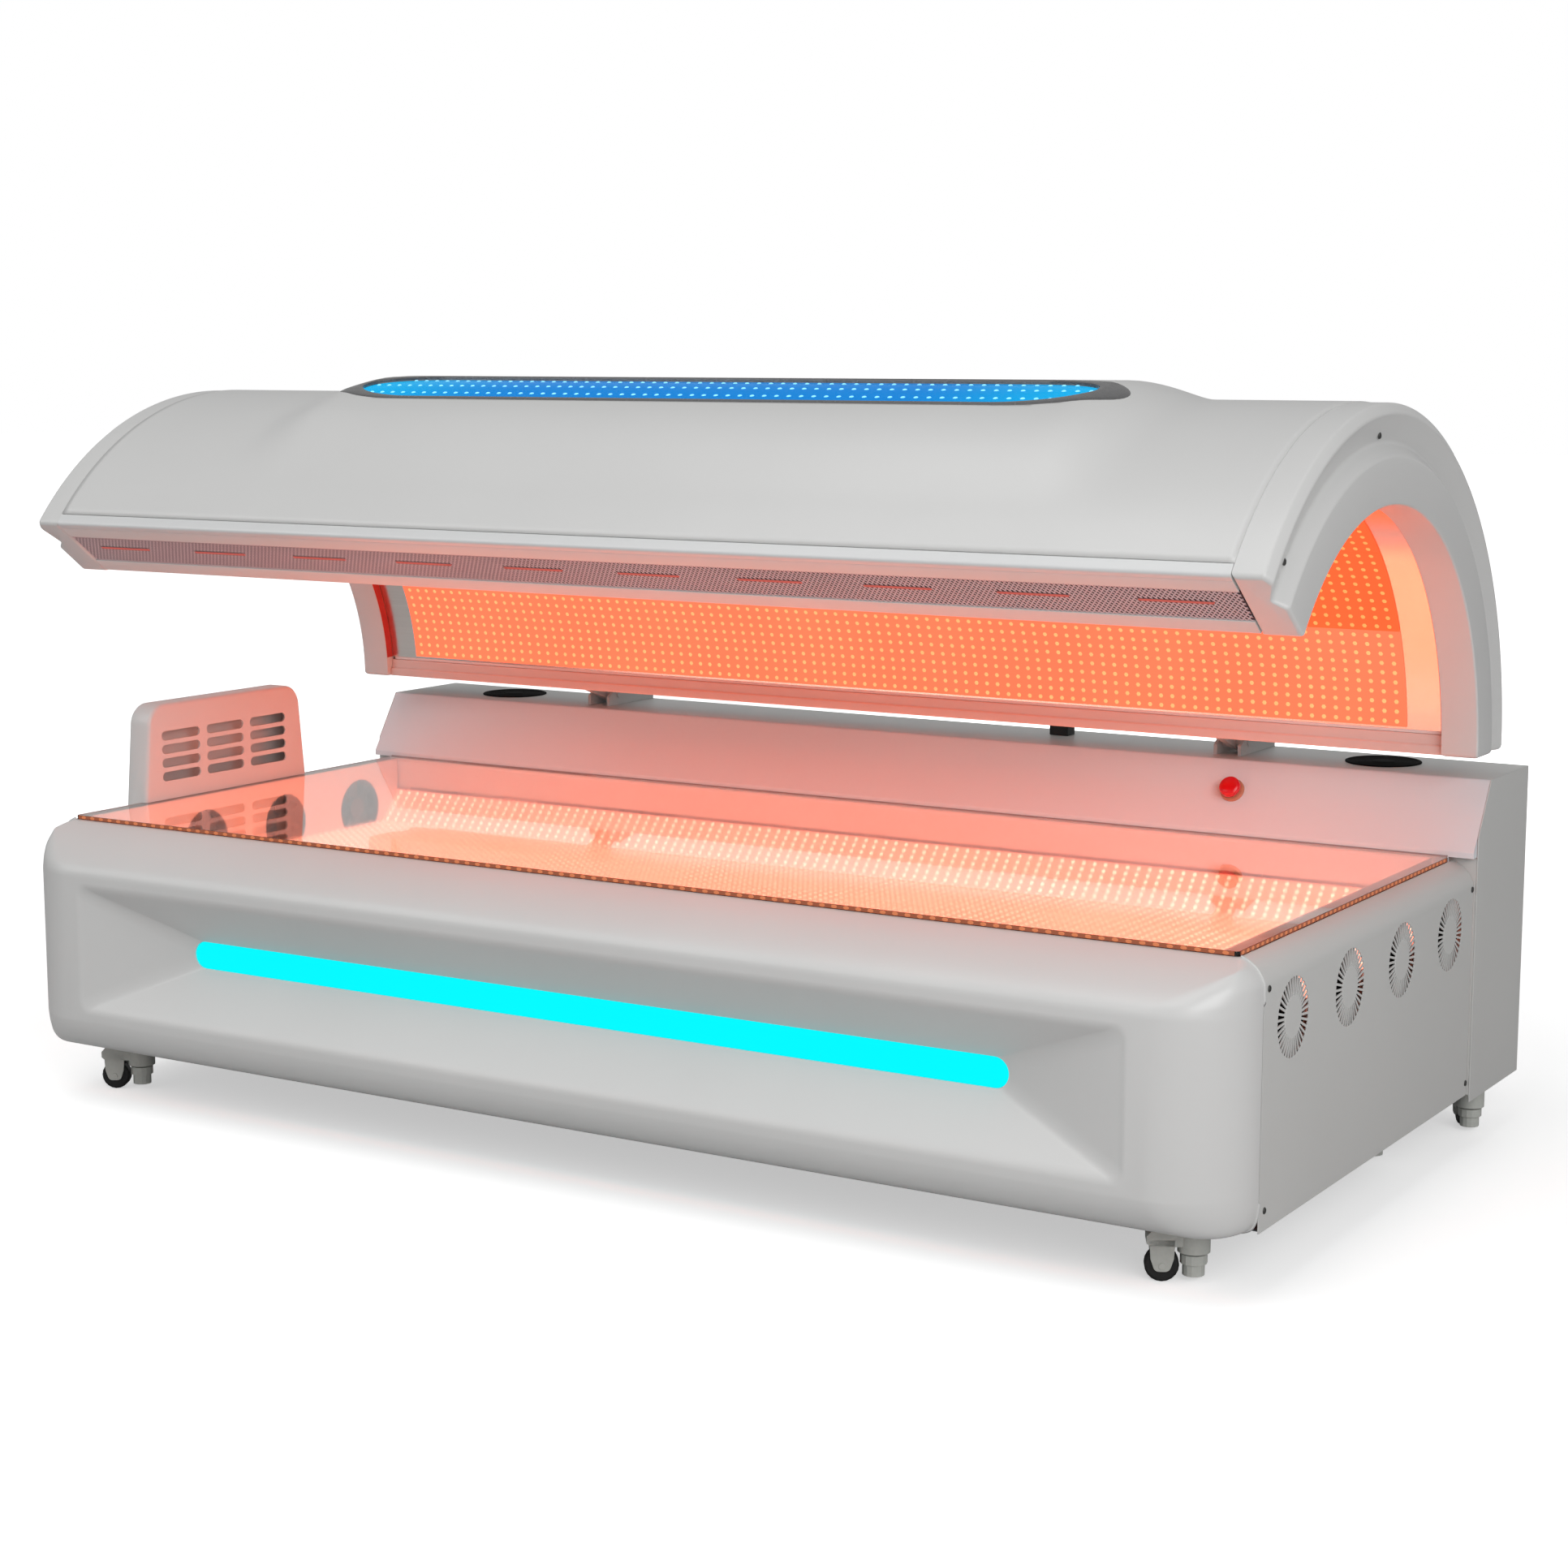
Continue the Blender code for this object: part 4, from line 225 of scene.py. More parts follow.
CASTER_ARM_ROUNDS = (0.001, 0.001, 0.010, 0.009, 0.009, 0.010)
FINE_EDGE = 0.0008          # rounding of a folded or moulded edge
CASTER_HALF_WIDTH = 0.0160
CASTER_ARM_INNER_Y = 0.0126
AXLE_RADIUS = 0.0050
AXLE_HALF_LENGTH = 0.0176

# Studio, with the camera as solved from the photo
FLOOR_REACH = 30.0
FLOOR_BOUNCE = 0.58         # the floor is darker as a bounce light than to the eye
FLOOR_TONE = 0.90
FLOOR_LIFT = {"From Min": 1.5, "From Max": 4.5, "To Min": 0.50, "To Max": 1.0}
SURROUND_LIGHT = 0.27       # strength of the white surround as a light, and below in reflections
SURROUND_MIRRORED = 0.45
SOFTBOXES = (("side_softbox", (4.0, -3.0, 2.2), (0, 0, 0.6), (3.5, 2.5), 104.0),
             ("left_softbox", (-3.2, -4.0, 3.2), (0, 0, 0.6), (3.5, 2.5), 46.0),
             ("rear_softbox", (-1.5, 5.0, 0.6), (0, 0, 0.5), (4.0, 0.9), 30.0),
             ("top_softbox", (-0.4, -2.3, 5.2), (0, 0, 0.5), (5.0, 4.0), 87.0))
CAMERA_PLACE = (2.4969, -3.94705, 1.26695)
CAMERA_AZIMUTH_DEG = 31.77
CAMERA_ELEVATION_DEG = 8.67
CAMERA_LENS_MM = 65.57
CAMERA_SENSOR_MM = 36.0

ENDS = (("head", -1), ("foot", 1))
SHARP_DEG = 35              # edges that turn by more than this are crisp or get rounded
PLAY = 0.0003               # clear gap between pieces that meet
ALONG = Vector((1, 0, 0))
UP = Vector((0, 0, 1))


# Materials

def linear(hex_colour):
    """An sRGB hex colour as linear RGBA."""
    channels = [int(hex_colour[i:i + 2], 16) / 255 for i in (0, 2, 4)]
    return (*[c / 12.92 if c <= 0.04045 else ((c + 0.055) / 1.055) ** 2.4 for c in channels], 1.0)


def add_node(tree, kind, settings=None, links=None):
    """Add a node; settings go to its inputs or properties by name, links join its inputs to outputs."""
    made = tree.nodes.new(kind)
    for name, value in (settings or {}).items():
        if isinstance(name, int) or name in made.inputs:
            made.inputs[name].default_value = value
        else:
            setattr(made, name, value)
    for name, source in (links or {}).items():
        tree.links.new(source, made.inputs[name])
    return made


def start_material(name, sockets):
    """A material with uniform values on its shader's own sockets, and the places of its surface in metres."""
    material = bpy.data.materials.new(name)
    material.use_nodes = True
    tree = material.node_tree
    shader = tree.nodes["Principled BSDF"]
    for socket, value in sockets.items():
        shader.inputs[socket].default_value = value
    places = add_node(tree, "ShaderNodeTexCoord").outputs["Object"]
    return material, tree, shader, places


def finish_surface(tree, shader, tones, pattern, fine, rough, spread, relief=None):
    """Two tones that follow a pattern, with a gloss that follows a fine one; relief is the strength and depth
    of the fine pattern's bumps."""
    colour = add_node(tree, "ShaderNodeMix", {"data_type": 'RGBA', 6: linear(tones[0]), 7: linear(tones[1])},
                      {0: pattern.outputs["Fac"]})
    tree.links.new(colour.outputs[2], shader.inputs["Base Color"])
    gloss = add_node(tree, "ShaderNodeMapRange", {"To Min": rough - spread[0], "To Max": rough + spread[1]},
                     {"Value": fine.outputs["Fac"]})
    tree.links.new(gloss.outputs["Result"], shader.inputs["Roughness"])
    if relief:
        bump = add_node(tree, "ShaderNodeBump", {"Strength": relief[0], "Distance": relief[1]},
                        {"Height": fine.outputs["Fac"]})
        tree.links.new(bump.outputs["Normal"], shader.inputs["Normal"])


def moulded_abs(name, pale, deep, rough):
    """Vacuum-formed ABS with a gloss cap layer: an even satin white with soft broad highlights, a faint
    unevenness of tone over hand-sized areas and a very slight orange peel."""
    material, tree, shader, places = start_material(
        name, {"IOR": 1.53, "Coat Weight": 0.15, "Coat Roughness": 0.25})
    tone = add_node(tree, "ShaderNodeTexNoise", {"Scale": 1 / 0.30, "Detail": 2.0}, {"Vector": places})
    finish_surface(tree, shader, (pale, deep), tone, tone, rough, (0.04, 0.05))
    # Real orange peel is about 2 mm across; 7 mm is the finest that shows at this distance
    peel = add_node(tree, "ShaderNodeTexNoise", {"Scale": 1 / 0.007, "Detail": 1.0}, {"Vector": places})
    bump = add_node(tree, "ShaderNodeBump", {"Strength": 0.06, "Distance": 0.0005},
                    {"Height": peel.outputs["Fac"]})
    tree.links.new(bump.outputs["Normal"], shader.inputs["Normal"])
    return material


def powder_coated_steel(name, pale, deep, rough):
    """Folded steel sheet with a baked powder coat: a duller white than the mouldings, with a fine pebble."""
    material, tree, shader, places = start_material(name, {"IOR": 1.50})
    # Powder grit is about 1 mm; it is drawn 4 mm wide so that it shows
    grit = add_node(tree, "ShaderNodeTexNoise", {"Scale": 1 / 0.004, "Detail": 2.0}, {"Vector": places})
    tone = add_node(tree, "ShaderNodeTexNoise", {"Scale": 1 / 0.40, "Detail": 1.0}, {"Vector": places})
    finish_surface(tree, shader, (pale, deep), tone, grit, rough, (0.06, 0.06), (0.10, 0.0004))
    return material


def drawn_aluminium(name, pale, deep, rough, grain_direction):
    """Aluminium with the fine straight grain of its drawing or brushing: bright, with highlights drawn out
    across the grain."""
    material, tree, shader, places = start_material(name, {"Metallic": 1.0})
    # Grain lines are tenths of a millimetre wide; they are drawn about 3 mm wide so that they show
    stretch = [1 / 0.003] * 3
    stretch[grain_direction] = 1 / 0.25
    drawn = add_node(tree, "ShaderNodeMapping", {"Scale": stretch}, {"Vector": places})
    grain = add_node(tree, "ShaderNodeTexNoise", {"Scale": 1.0, "Detail": 2.0},
                     {"Vector": drawn.outputs["Vector"]})
    finish_surface(tree, shader, (pale, deep), grain, grain, rough, (0.05, 0.06))
    return material


def plated_steel(name, pale, deep, rough):
    """Zinc-plated steel: a cool grey metal, cloudy where the plating bath left it uneven."""
    material, tree, shader, places = start_material(name, {"Metallic": 1.0})
    cloud = add_node(tree, "ShaderNodeTexNoise", {"Scale": 1 / 0.020, "Detail": 3.0}, {"Vector": places})
    finish_surface(tree, shader, (pale, deep), cloud, cloud, rough, (0.08, 0.10))
    return material


def grained_plastic(name, pale, deep, grain, rough, index):
    """Injection-moulded plastic or rubber with a spark-eroded grain: dull, with a broken-up highlight."""
    material, tree, shader, places = start_material(name, {"IOR": index})
    spots = add_node(tree, "ShaderNodeTexNoise", {"Scale": 1 / grain, "Detail": 2.0}, {"Vector": places})
    finish_surface(tree, shader, (pale, deep), spots, spots, rough, (0.06, 0.06), (0.15, 0.0003))
    return material


def cast_acrylic(name, tint, index, rough):
    """Clear cast sheet, flame-polished: it lets the light boards through and mirrors what stands over it,
    with a trace of wiped haze in the gloss."""
    material, tree, shader, places = start_material(
        name, {"Base Color": linear(tint), "IOR": index, "Transmission Weight": 1.0})
    haze = add_node(tree, "ShaderNodeTexNoise", {"Scale": 1 / 0.15, "Detail": 3.0}, {"Vector": places})
    gloss = add_node(tree, "ShaderNodeMapRange", {"To Min": rough, "To Max": rough + 0.03},
                     {"Value": haze.outputs["Fac"]})
    tree.links.new(gloss.outputs["Result"], shader.inputs["Roughness"])
    return material


def lit_surface(name, base, pale, deep, patch, low, high, rough):
    """A surface that shines by itself, such as a driven circuit board, a lens or an opal diffuser, or one
    that
    glows with painted light: strong colour with small differences in brightness from patch to patch."""
    material, tree, shader, places = start_material(
        name, {"Base Color": linear(base), "Roughness": rough, "Specular IOR Level": 0.05})
    drift = add_node(tree, "ShaderNodeTexNoise", {"Scale": 1 / patch, "Detail": 1.0}, {"Vector": places})
    colour = add_node(tree, "ShaderNodeMix", {"data_type": 'RGBA', 6: linear(pale), 7: linear(deep)},
                      {0: drift.outputs["Fac"]})
    tree.links.new(colour.outputs[2], shader.inputs["Emission Color"])
    drive = add_node(tree, "ShaderNodeMapRange", {"To Min": low, "To Max": high},
                     {"Value": drift.outputs["Fac"]})
    tree.links.new(drive.outputs["Result"], shader.inputs["Emission Strength"])
    return material


def blue_display_board(name, middle, ends):
    """A driven display board: deep blue in the middle of its length and brighter cyan towards both ends."""
    material, tree, shader, places = start_material(
        name, {"Base Color": linear("0A2A50"), "Roughness": 0.6, "Specular IOR Level": 0.0,
               "Emission Strength": 0.95})
    split = add_node(tree, "ShaderNodeSeparateXYZ", {}, {"Vector": places})
    away = add_node(tree, "ShaderNodeMath", {"operation": 'SUBTRACT', 1: CROWN_X}, {0: split.outputs["X"]})
    reach = add_node(tree, "ShaderNodeMath", {"operation": 'ABSOLUTE'}, {0: away.outputs["Value"]})
    share = add_node(tree, "ShaderNodeMapRange", {"From Min": 0.35, "From Max": WINDOW_HALF_LENGTH,
                                                  "interpolation_type": 'SMOOTHSTEP'},
                     {"Value": reach.outputs["Value"]})
    colour = add_node(tree, "ShaderNodeMix", {"data_type": 'RGBA', 6: linear(middle), 7: linear(ends)},
                      {0: share.outputs["Result"]})
    tree.links.new(colour.outputs[2], shader.inputs["Emission Color"])
    return material


white_moulding = moulded_abs("vacuum_formed_white_abs", "D6D6D5", "D0D0CF", 0.34)
white_panel = powder_coated_steel("white_powder_coated_steel", "CFCFCD", "C8C8C6", 0.46)
# Painted light: a brighter copy of the white powder coat for the console's slope and ends, one folded sheet
# with the deck
painted_light_console_white = powder_coated_steel("white_powder_coated_steel_painted_lighter", "E8EAEE", "E2E4E8", 0.46)
dark_frame = powder_coated_steel("dark_powder_coated_steel", "474B50", "3E4246", 0.50)
tray_white = powder_coated_steel("white_coated_reflector_sheet", "EFE6E0", "E6DCD6", 0.40)
bright_liner = drawn_aluminium("bright_rolled_aluminium_sheet", "EDE6E0", "E0D8D2", 0.22, 0)
satin_trim = moulded_abs("satin_white_abs_trim", "E0DEDC", "D8D6D4", 0.42)
# Painted light: a white moulding tinted pink with the red light that falls on it from the bed below
red_lit_rear_trim = moulded_abs("gloss_white_abs_trim_painted_red_light", "DCCAC4", "D6C4BE", 0.34)
rail_lacquer = moulded_abs("silver_white_lacquered_rail", "DADBDB", "D4D5D5", 0.30)
hinge_steel = plated_steel("zinc_plated_steel", "B4B6B8", "8E9092", 0.34)
screw_steel = plated_steel("blackened_screw_steel", "6A6A68", "4C4C4B", 0.40)
bed_acrylic = cast_acrylic("clear_cast_acrylic", "FFF4EF", 1.49, 0.008)
# The pane's anti-reflex coating takes its index from 1.58 to almost that of air, so it shows no mirror image
crown_pane = cast_acrylic("coated_polycarbonate_pane", "F2FAFF", 1.01, 0.010)
opal_bar = lit_surface("lit_opal_acrylic_bar", "003438", "00FFFF", "00F6FF", 0.40, 0.96, 1.00, 0.55)
# The diodes' red is far stronger than white paper: it clips on the boards and tints everything around them
rear_board = lit_surface("full_drive_red_circuit_board", "803018", "FF6648", "FF6C4C", 0.25, 1.50, 1.70, 0.55)
rear_lens = lit_surface("full_drive_red_diode_lens", "A06030", "FFA86E", "FFAE74", 0.05, 1.10, 1.25, 0.25)
red_board = lit_surface("driven_red_circuit_board", "803018", "FF5A30", "FF6034", 0.25, 1.20, 1.35, 0.55)
red_lens = lit_surface("lit_red_diode_lens", "A06030", "FFA05A", "FFA660", 0.05, 1.00, 1.15, 0.25)
dim_board = lit_surface("dimmed_red_circuit_board", "803018", "FF6A3A", "FF703E", 0.25, 0.36, 0.42, 0.55)
dim_lens = lit_surface("dimmed_red_diode_lens", "A06030", "FFB070", "FFB678", 0.05, 0.55, 0.65, 0.25)
bed_board = lit_surface("driven_bed_circuit_board", "A04A30", "FF8468", "FF8A6C", 0.25, 2.6, 2.95, 0.55)
bed_lens = lit_surface("lit_bed_diode_lens", "C09070", "FFC8A8", "FFCEB0", 0.05, 2.8, 3.2, 0.25)
# Painted light: the acrylic rim and its glints glow in place of the diodes' light caught in the sawn edge
rim_painted_glow = lit_surface("acrylic_rim_painted_glow", "7A4A38", "C06A48", "905440", 0.02, 0.30, 0.55, 0.20)
rim_painted_glints = lit_surface("painted_diode_glints_in_acrylic_rim", "B07050", "E08050", "C87044", 0.03, 0.40, 0.55, 0.20)
blue_board = blue_display_board("driven_blue_display_board", "1C86D0", "12BCEC")
blue_lens = lit_surface("lit_blue_diode_lens", "60A0C0", "7CD0F4", "98DEFA", 0.05, 0.90, 1.05, 0.30)
# Painted light: the vent slots glow in place of the boards' light leaking through them
painted_slot_glow = lit_surface("vent_slot_painted_glow", "80281C", "CC6E66", "C0665E", 0.10, 0.60, 0.72, 0.50)
grey_bezel = grained_plastic("grey_gloss_abs_trim", "5C5C5D", "525253", 0.010, 0.26, 1.53)
# Partly painted light: a pale coated mesh, with the boards' red light painted into it as a pink tint
red_lit_vent_mesh = powder_coated_steel("expanded_steel_mesh_painted_red_light", "DCCACE", "CCBABE", 0.45)
# Painted shade: the backing is dark to stand for the shade in the cavity behind the mesh
shade_painted_backing = powder_coated_steel("vent_backing_sheet_painted_shade", "5A484C", "4C3C40", 0.60)
black_nylon = grained_plastic("black_moulded_nylon", "1C1C1C", "121212", 0.006, 0.50, 1.53)
black_cloth = grained_plastic("black_grille_cloth", "101010", "080808", 0.004, 0.90, 1.20)
# Painted light: the nylon is drawn paler than it is, so that the casters look lit in the shade under the base
lightened_grey_nylon = grained_plastic("grey_moulded_nylon_painted_lighter", "CCCEC8", "BEC0BA", 0.006, 0.48, 1.53)
black_tyre = grained_plastic("black_polyurethane_tyre", "161616", "0C0C0C", 0.005, 0.60, 1.50)
amber_collar = grained_plastic("amber_moulded_collar", "C88468", "B8785C", 0.010, 0.40, 1.53)
# Painted light: the red stands in for the boards' red light falling on the lining's ends
red_light_painted_seal = grained_plastic("seal_painted_red_light", "C23A34", "B4322C", 0.010, 0.45, 1.41)
# Partly painted light: a grey silicone bead, tinted pink with the boards' red light
pink_lit_grey_sealant = grained_plastic("grey_silicone_sealant_painted_pink", "A09090", "948686", 0.010, 0.45, 1.41)
red_knob = grained_plastic("red_gloss_moulded_knob", "E00A1E", "CC0618", 0.012, 0.18, 1.50)


# Shape helpers: a shape is a list of points and a list of faces

def arc(centre, radius, start_deg, end_deg, steps):
    points = []
    for i in range(steps + 1):
        angle = math.radians(start_deg + (end_deg - start_deg) * i / steps)
        points.append((centre[0] + radius * math.cos(angle), centre[1] + radius * math.sin(angle)))
    return points


def stadium(half_length, radius, steps):
    """Closed outline with half-round ends, about the origin."""
    straight = half_length - radius
    return arc((straight, 0), radius, -90, 90, steps) + arc((-straight, 0), radius, 90, 270, steps)


def smooth_line(points, steps, before=None, after=None):
    """Catmull-Rom line through points of any length; before and after steer its two ends."""
    pts = [Vector(p) for p in points]
    first = Vector(before) if before else 2 * pts[0] - pts[1]
    last = Vector(after) if after else 2 * pts[-1] - pts[-2]
    run = [first] + pts + [last]
    made = []
    for a, b, c, d in zip(run, run[1:], run[2:], run[3:]):
        for i in range(steps):
            t = i / steps
            made.append(0.5 * (2 * b + (c - a) * t + (2 * a - 5 * b + 4 * c - d) * t * t
                               + (3 * b - a - 3 * c + d) * t * t * t))
    return [tuple(p) for p in made + [pts[-1]]]


def rounded_outline(points, radii, steps, closed=True):
    """Outline of 2D points with each corner rounded by its own radius; an open one keeps its two ends."""
    made = []
    for i, point in enumerate(points):
        if not closed and i in (0, len(points) - 1):
            made.append(tuple(point))
            continue
        here = Vector(point)
        back = Vector(points[i - 1]) - here
        ahead = Vector(points[(i + 1) % len(points)]) - here
        half = back.angle(ahead) / 2
        reach = min(radii[i] / math.tan(half), 0.48 * back.length, 0.48 * ahead.length)
        start = here + back.normalized() * reach
        end = here + ahead.normalized() * reach
        for k in range(steps + 1):
            t = k / steps
            made.append(tuple(start * (1 - t) ** 2 + here * 2 * t * (1 - t) + end * t * t))
    return made


def bent_sheet(points, wall):
    """A bent sheet's outline: a line of outer points and the same line set off to its right by the wall."""
    offset = []
    for i, point in enumerate(points):
        here = Vector(point)
        ahead = (Vector(points[i + 1]) - here).normalized() if i + 1 < len(points) else None
        behind = (here - Vector(points[i - 1])).normalized() if i > 0 else None
        ahead = ahead or behind
        behind = behind or ahead
        side = Vector((behind.y + ahead.y, -behind.x - ahead.x)).normalized()
        offset.append(tuple(here + side * wall / side.dot(Vector((ahead.y, -ahead.x)))))
    return list(points) + offset[::-1]


def loft(rings, closed=True, capped=False):
    """Quads between rings of equal length, with the first and last ring filled if capped."""
    count = len(rings[0])
    points = [tuple(p) for ring in rings for p in ring]
    faces = []
    for r in range(len(rings) - 1):
        for i in range(count if closed else count - 1):
            j = (i + 1) % count
            faces.append((r * count + i, r * count + j, (r + 1) * count + j, (r + 1) * count + i))
    if capped:
        faces.append(tuple(range(count))[::-1])
        faces.append(tuple(range((len(rings) - 1) * count, len(rings) * count)))
    return points, faces


def joined(shapes):
    points, faces = [], []
    for shape_points, shape_faces in shapes:
        start = len(points)
        points += shape_points
        faces += [tuple(start + i for i in face) for face in shape_faces]
    return points, faces


def placed(shape, matrix):
    return [tuple(matrix @ Vector(p)) for p in shape[0]], shape[1]


def block(low, high):
    """A box between two corners, to be joined into a larger piece."""
    (a, b, c), (d, e, f) = low, high
    return loft([[(a, b, c), (d, b, c), (d, e, c), (a, e, c)], [(a, b, f), (d, b, f), (d, e, f), (a, e, f)]],
                capped=True)


def along_x(outline, low, high):
    """Extrude a (y, z) outline along X."""
    return loft([[(x, y, z) for y, z in outline] for x in (low, high)], capped=True)


def along_y(outline, low, high):
    """Extrude an (x, z) outline along Y."""
    return loft([[(x, y, z) for x, z in outline] for y in (low, high)], capped=True)


def turned(profile, steps):
    """Turn (radius, height) points about Z; the ends are filled where they miss the axis."""
    turns = [math.tau * i / steps for i in range(steps)]
    return loft([[(r * math.cos(a), r * math.sin(a), z) for a in turns] for r, z in profile], capped=True)


def quarter_round(steps):
    """Shares of a rounded edge's two set-backs, from its first face to its second."""
    angles = [math.radians(90 * k / steps) for k in range(steps + 1)]
    return [(1 - math.cos(a), 1 - math.sin(a)) for a in angles]


def facing(place, out, up):
    """Matrix that puts local Z along out and local Y along up, at a place."""
    z = Vector(out).normalized()
    y = Vector(up).normalized()
    x = y.cross(z)
    turn = Matrix((x, y, z)).transposed().to_4x4()
    return Matrix.Translation(place) @ turn


def domes(places, along, across, out, radius, height, sides=6):
    """Small lens domes on a flat board, as one shape."""
    points, faces = [], []
    flat_share = 0.55
    turns = [math.tau * i / sides for i in range(sides)]
    ring = [(radius * math.cos(a), radius * math.sin(a)) for a in turns]
    for place in places:
        start = len(points)
        points += [tuple(place + along * u + across * v) for u, v in ring]
        points += [tuple(place + along * u * flat_share + across * v * flat_share + out * height)
                   for u, v in ring]
        faces += [(start + i, start + (i + 1) % sides, start + sides + (i + 1) % sides, start + sides + i)
                  for i in range(sides)]
        faces.append(tuple(range(start + sides, start + 2 * sides)))
    return points, faces


def mesh_from(name, shape, weld=False, inside=None):
    """A shape as a mesh with its faces turned outwards; an open sheet faces away from the point inside."""
    mesh = bpy.data.meshes.new(name)
    mesh.from_pydata(shape[0], [], shape[1])
    bm = bmesh.new()
    bm.from_mesh(mesh)
    if weld:
        bmesh.ops.remove_doubles(bm, verts=bm.verts[:], dist=0.000002)
    bmesh.ops.recalc_face_normals(bm, faces=bm.faces[:])
    if inside is not None:
        facing_out = sum(f.calc_area() * f.normal.dot(f.calc_center_median() - Vector(inside))
                         for f in bm.faces)
        if facing_out < 0:
            bmesh.ops.reverse_faces(bm, faces=bm.faces[:])
    bm.to_mesh(mesh)
    bm.free()
    return mesh


def stand(name, data):
    """Put a mesh, a lamp or a camera into the scene."""
    item = bpy.data.objects.new(name, data)
    bpy.context.scene.collection.objects.link(item)
    return item


def smooth(mesh, sharp_deg):
    mesh.shade_smooth()
    mesh.set_sharp_from_angle(angle=math.radians(sharp_deg))


def piece(name, shape, material, body, replaces=(), sharp_deg=SHARP_DEG, inside=None, weld=True):
    """Make a shape into an object with a material that rides on a body."""
    mesh = mesh_from(name, shape, weld, inside)
    mesh.materials.append(material)
    smooth(mesh, sharp_deg)
    item = stand(name, mesh)
    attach(item, body)
    if replaces:
        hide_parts(*replaces)
    return item


def carve(item, shape):
    """Cut a shape out of a piece."""
    cutter = stand("cutter", mesh_from("cutter", shape))
    cut = item.modifiers.new("cut", 'BOOLEAN')
    cut.object = cutter
    cut.solver = 'EXACT'
    bpy.context.view_layer.update()
    graph = bpy.context.evaluated_depsgraph_get()
    item.data = bpy.data.meshes.new_from_object(item.evaluated_get(graph))
    item.modifiers.clear()
    bpy.data.objects.remove(cutter, do_unlink=True)


def soften(item, width, segments=3):
    """Round a piece's sharp edges as a mould or a folding press does."""
    bevel = item.modifiers.new("edges", 'BEVEL')
    bevel.width = width
    bevel.segments = segments
    bevel.limit_method = 'ANGLE'
    bevel.angle_limit = math.radians(SHARP_DEG)
    shade = item.modifiers.new("shade", 'WEIGHTED_NORMAL')
    shade.keep_sharp = True


def thicken(item, wall):
    """Give a sheet its wall, on the inner side."""
    solid = item.modifiers.new("wall", 'SOLIDIFY')
    solid.thickness = wall
    solid.offset = -1.0


def dress(node, material, edge):
    """Keep a frame node: weld its facets, round its edges and give it a finish."""
    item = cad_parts[node]
    item.data.materials.clear()
    item.data.materials.append(material)
    weld = item.modifiers.new("weld", 'WELD')
    weld.merge_threshold = 0.00001
    flat = item.modifiers.new("flat", 'DECIMATE')
    flat.decimate_type = 'DISSOLVE'
    flat.angle_limit = math.radians(1.0)
    soften(item, edge)


def pipe_point(radius, deg):
    """A point of the canopy's cross-section, as (y, z)."""
    angle = math.radians(deg)
    return (PIPE_Y + radius * math.cos(angle), PIPE_Z + radius * math.sin(angle))


def smooth_step(value):
    value = min(1.0, max(0.0, value))
    return value * value * (3 - 2 * value)


# Front moulding with its recess and light bar

def shoulder_line():
    """Shoulder as (height, end set-back, front set-back), from the upright face to the acrylic."""
    points = [(FACE_HIGH_Z, 0.0, 0.0)]
    points += [(SHOULDER_TOP_Z - drop, end, front) for drop, end, front in SHOULDER_CURVE]
    return smooth_line(points, CURVE_STEPS, before=(FACE_HIGH_Z - 0.02, 0.0, 0.0))


def moulding_levels():
    skirt = [(SKIRT_Z + rise, end, front) for rise, end, front in SKIRT_CURVE] + [(FACE_LOW_Z, 0.0, 0.0)]
    levels = [(SKIRT_Z, *SKIRT_LIP)]
    levels += smooth_line(skirt, CURVE_STEPS, before=(SKIRT_Z - 0.001, SKIRT_LIP[0], 0.085),
                          after=(FACE_LOW_Z + 0.02, 0.0, 0.0))
    return levels + shoulder_line()


def moulding_plan(end_set_back, front_set_back, corner_steps):
    half = BASE_HALF_LENGTH - end_set_back
    front = FRONT_Y + front_set_back
    wide = max(CORNER_LEAST, CORNER_WIDTH - CORNER_TIGHTENING * front_set_back)
    deep = min(CORNER_DEPTH, SEAM_Y - front - 0.0005)
    turns = [math.radians(-90 + 90 * k / corner_steps) for k in range(corner_steps + 1)]
    right = [(half - wide + wide * math.cos(a), front + deep + deep * math.sin(a)) for a in turns]
    right.append((half, SEAM_Y - SEAM_GAP / 2))
    left = [(-x, y) for x, y in right[::-1]]
    return left + right


def recess_ring(half_length, low, high, radius):
    """An upright rounded rectangle as one loop of (x, z), from the lower right corner."""
    corners = ((half_length - radius, low + radius, -90), (half_length - radius, high - radius, 0),
               (-half_length + radius, high - radius, 90), (-half_length + radius, low + radius, 180))
    return [p for x, z, start in corners for p in arc((x, z), radius, start, start + 90, 8)]


def between(ring_a, ring_b, share):
    return [(a[0] + (b[0] - a[0]) * share, a[1] + (b[1] - a[1]) * share) for a, b in zip(ring_a, ring_b)]


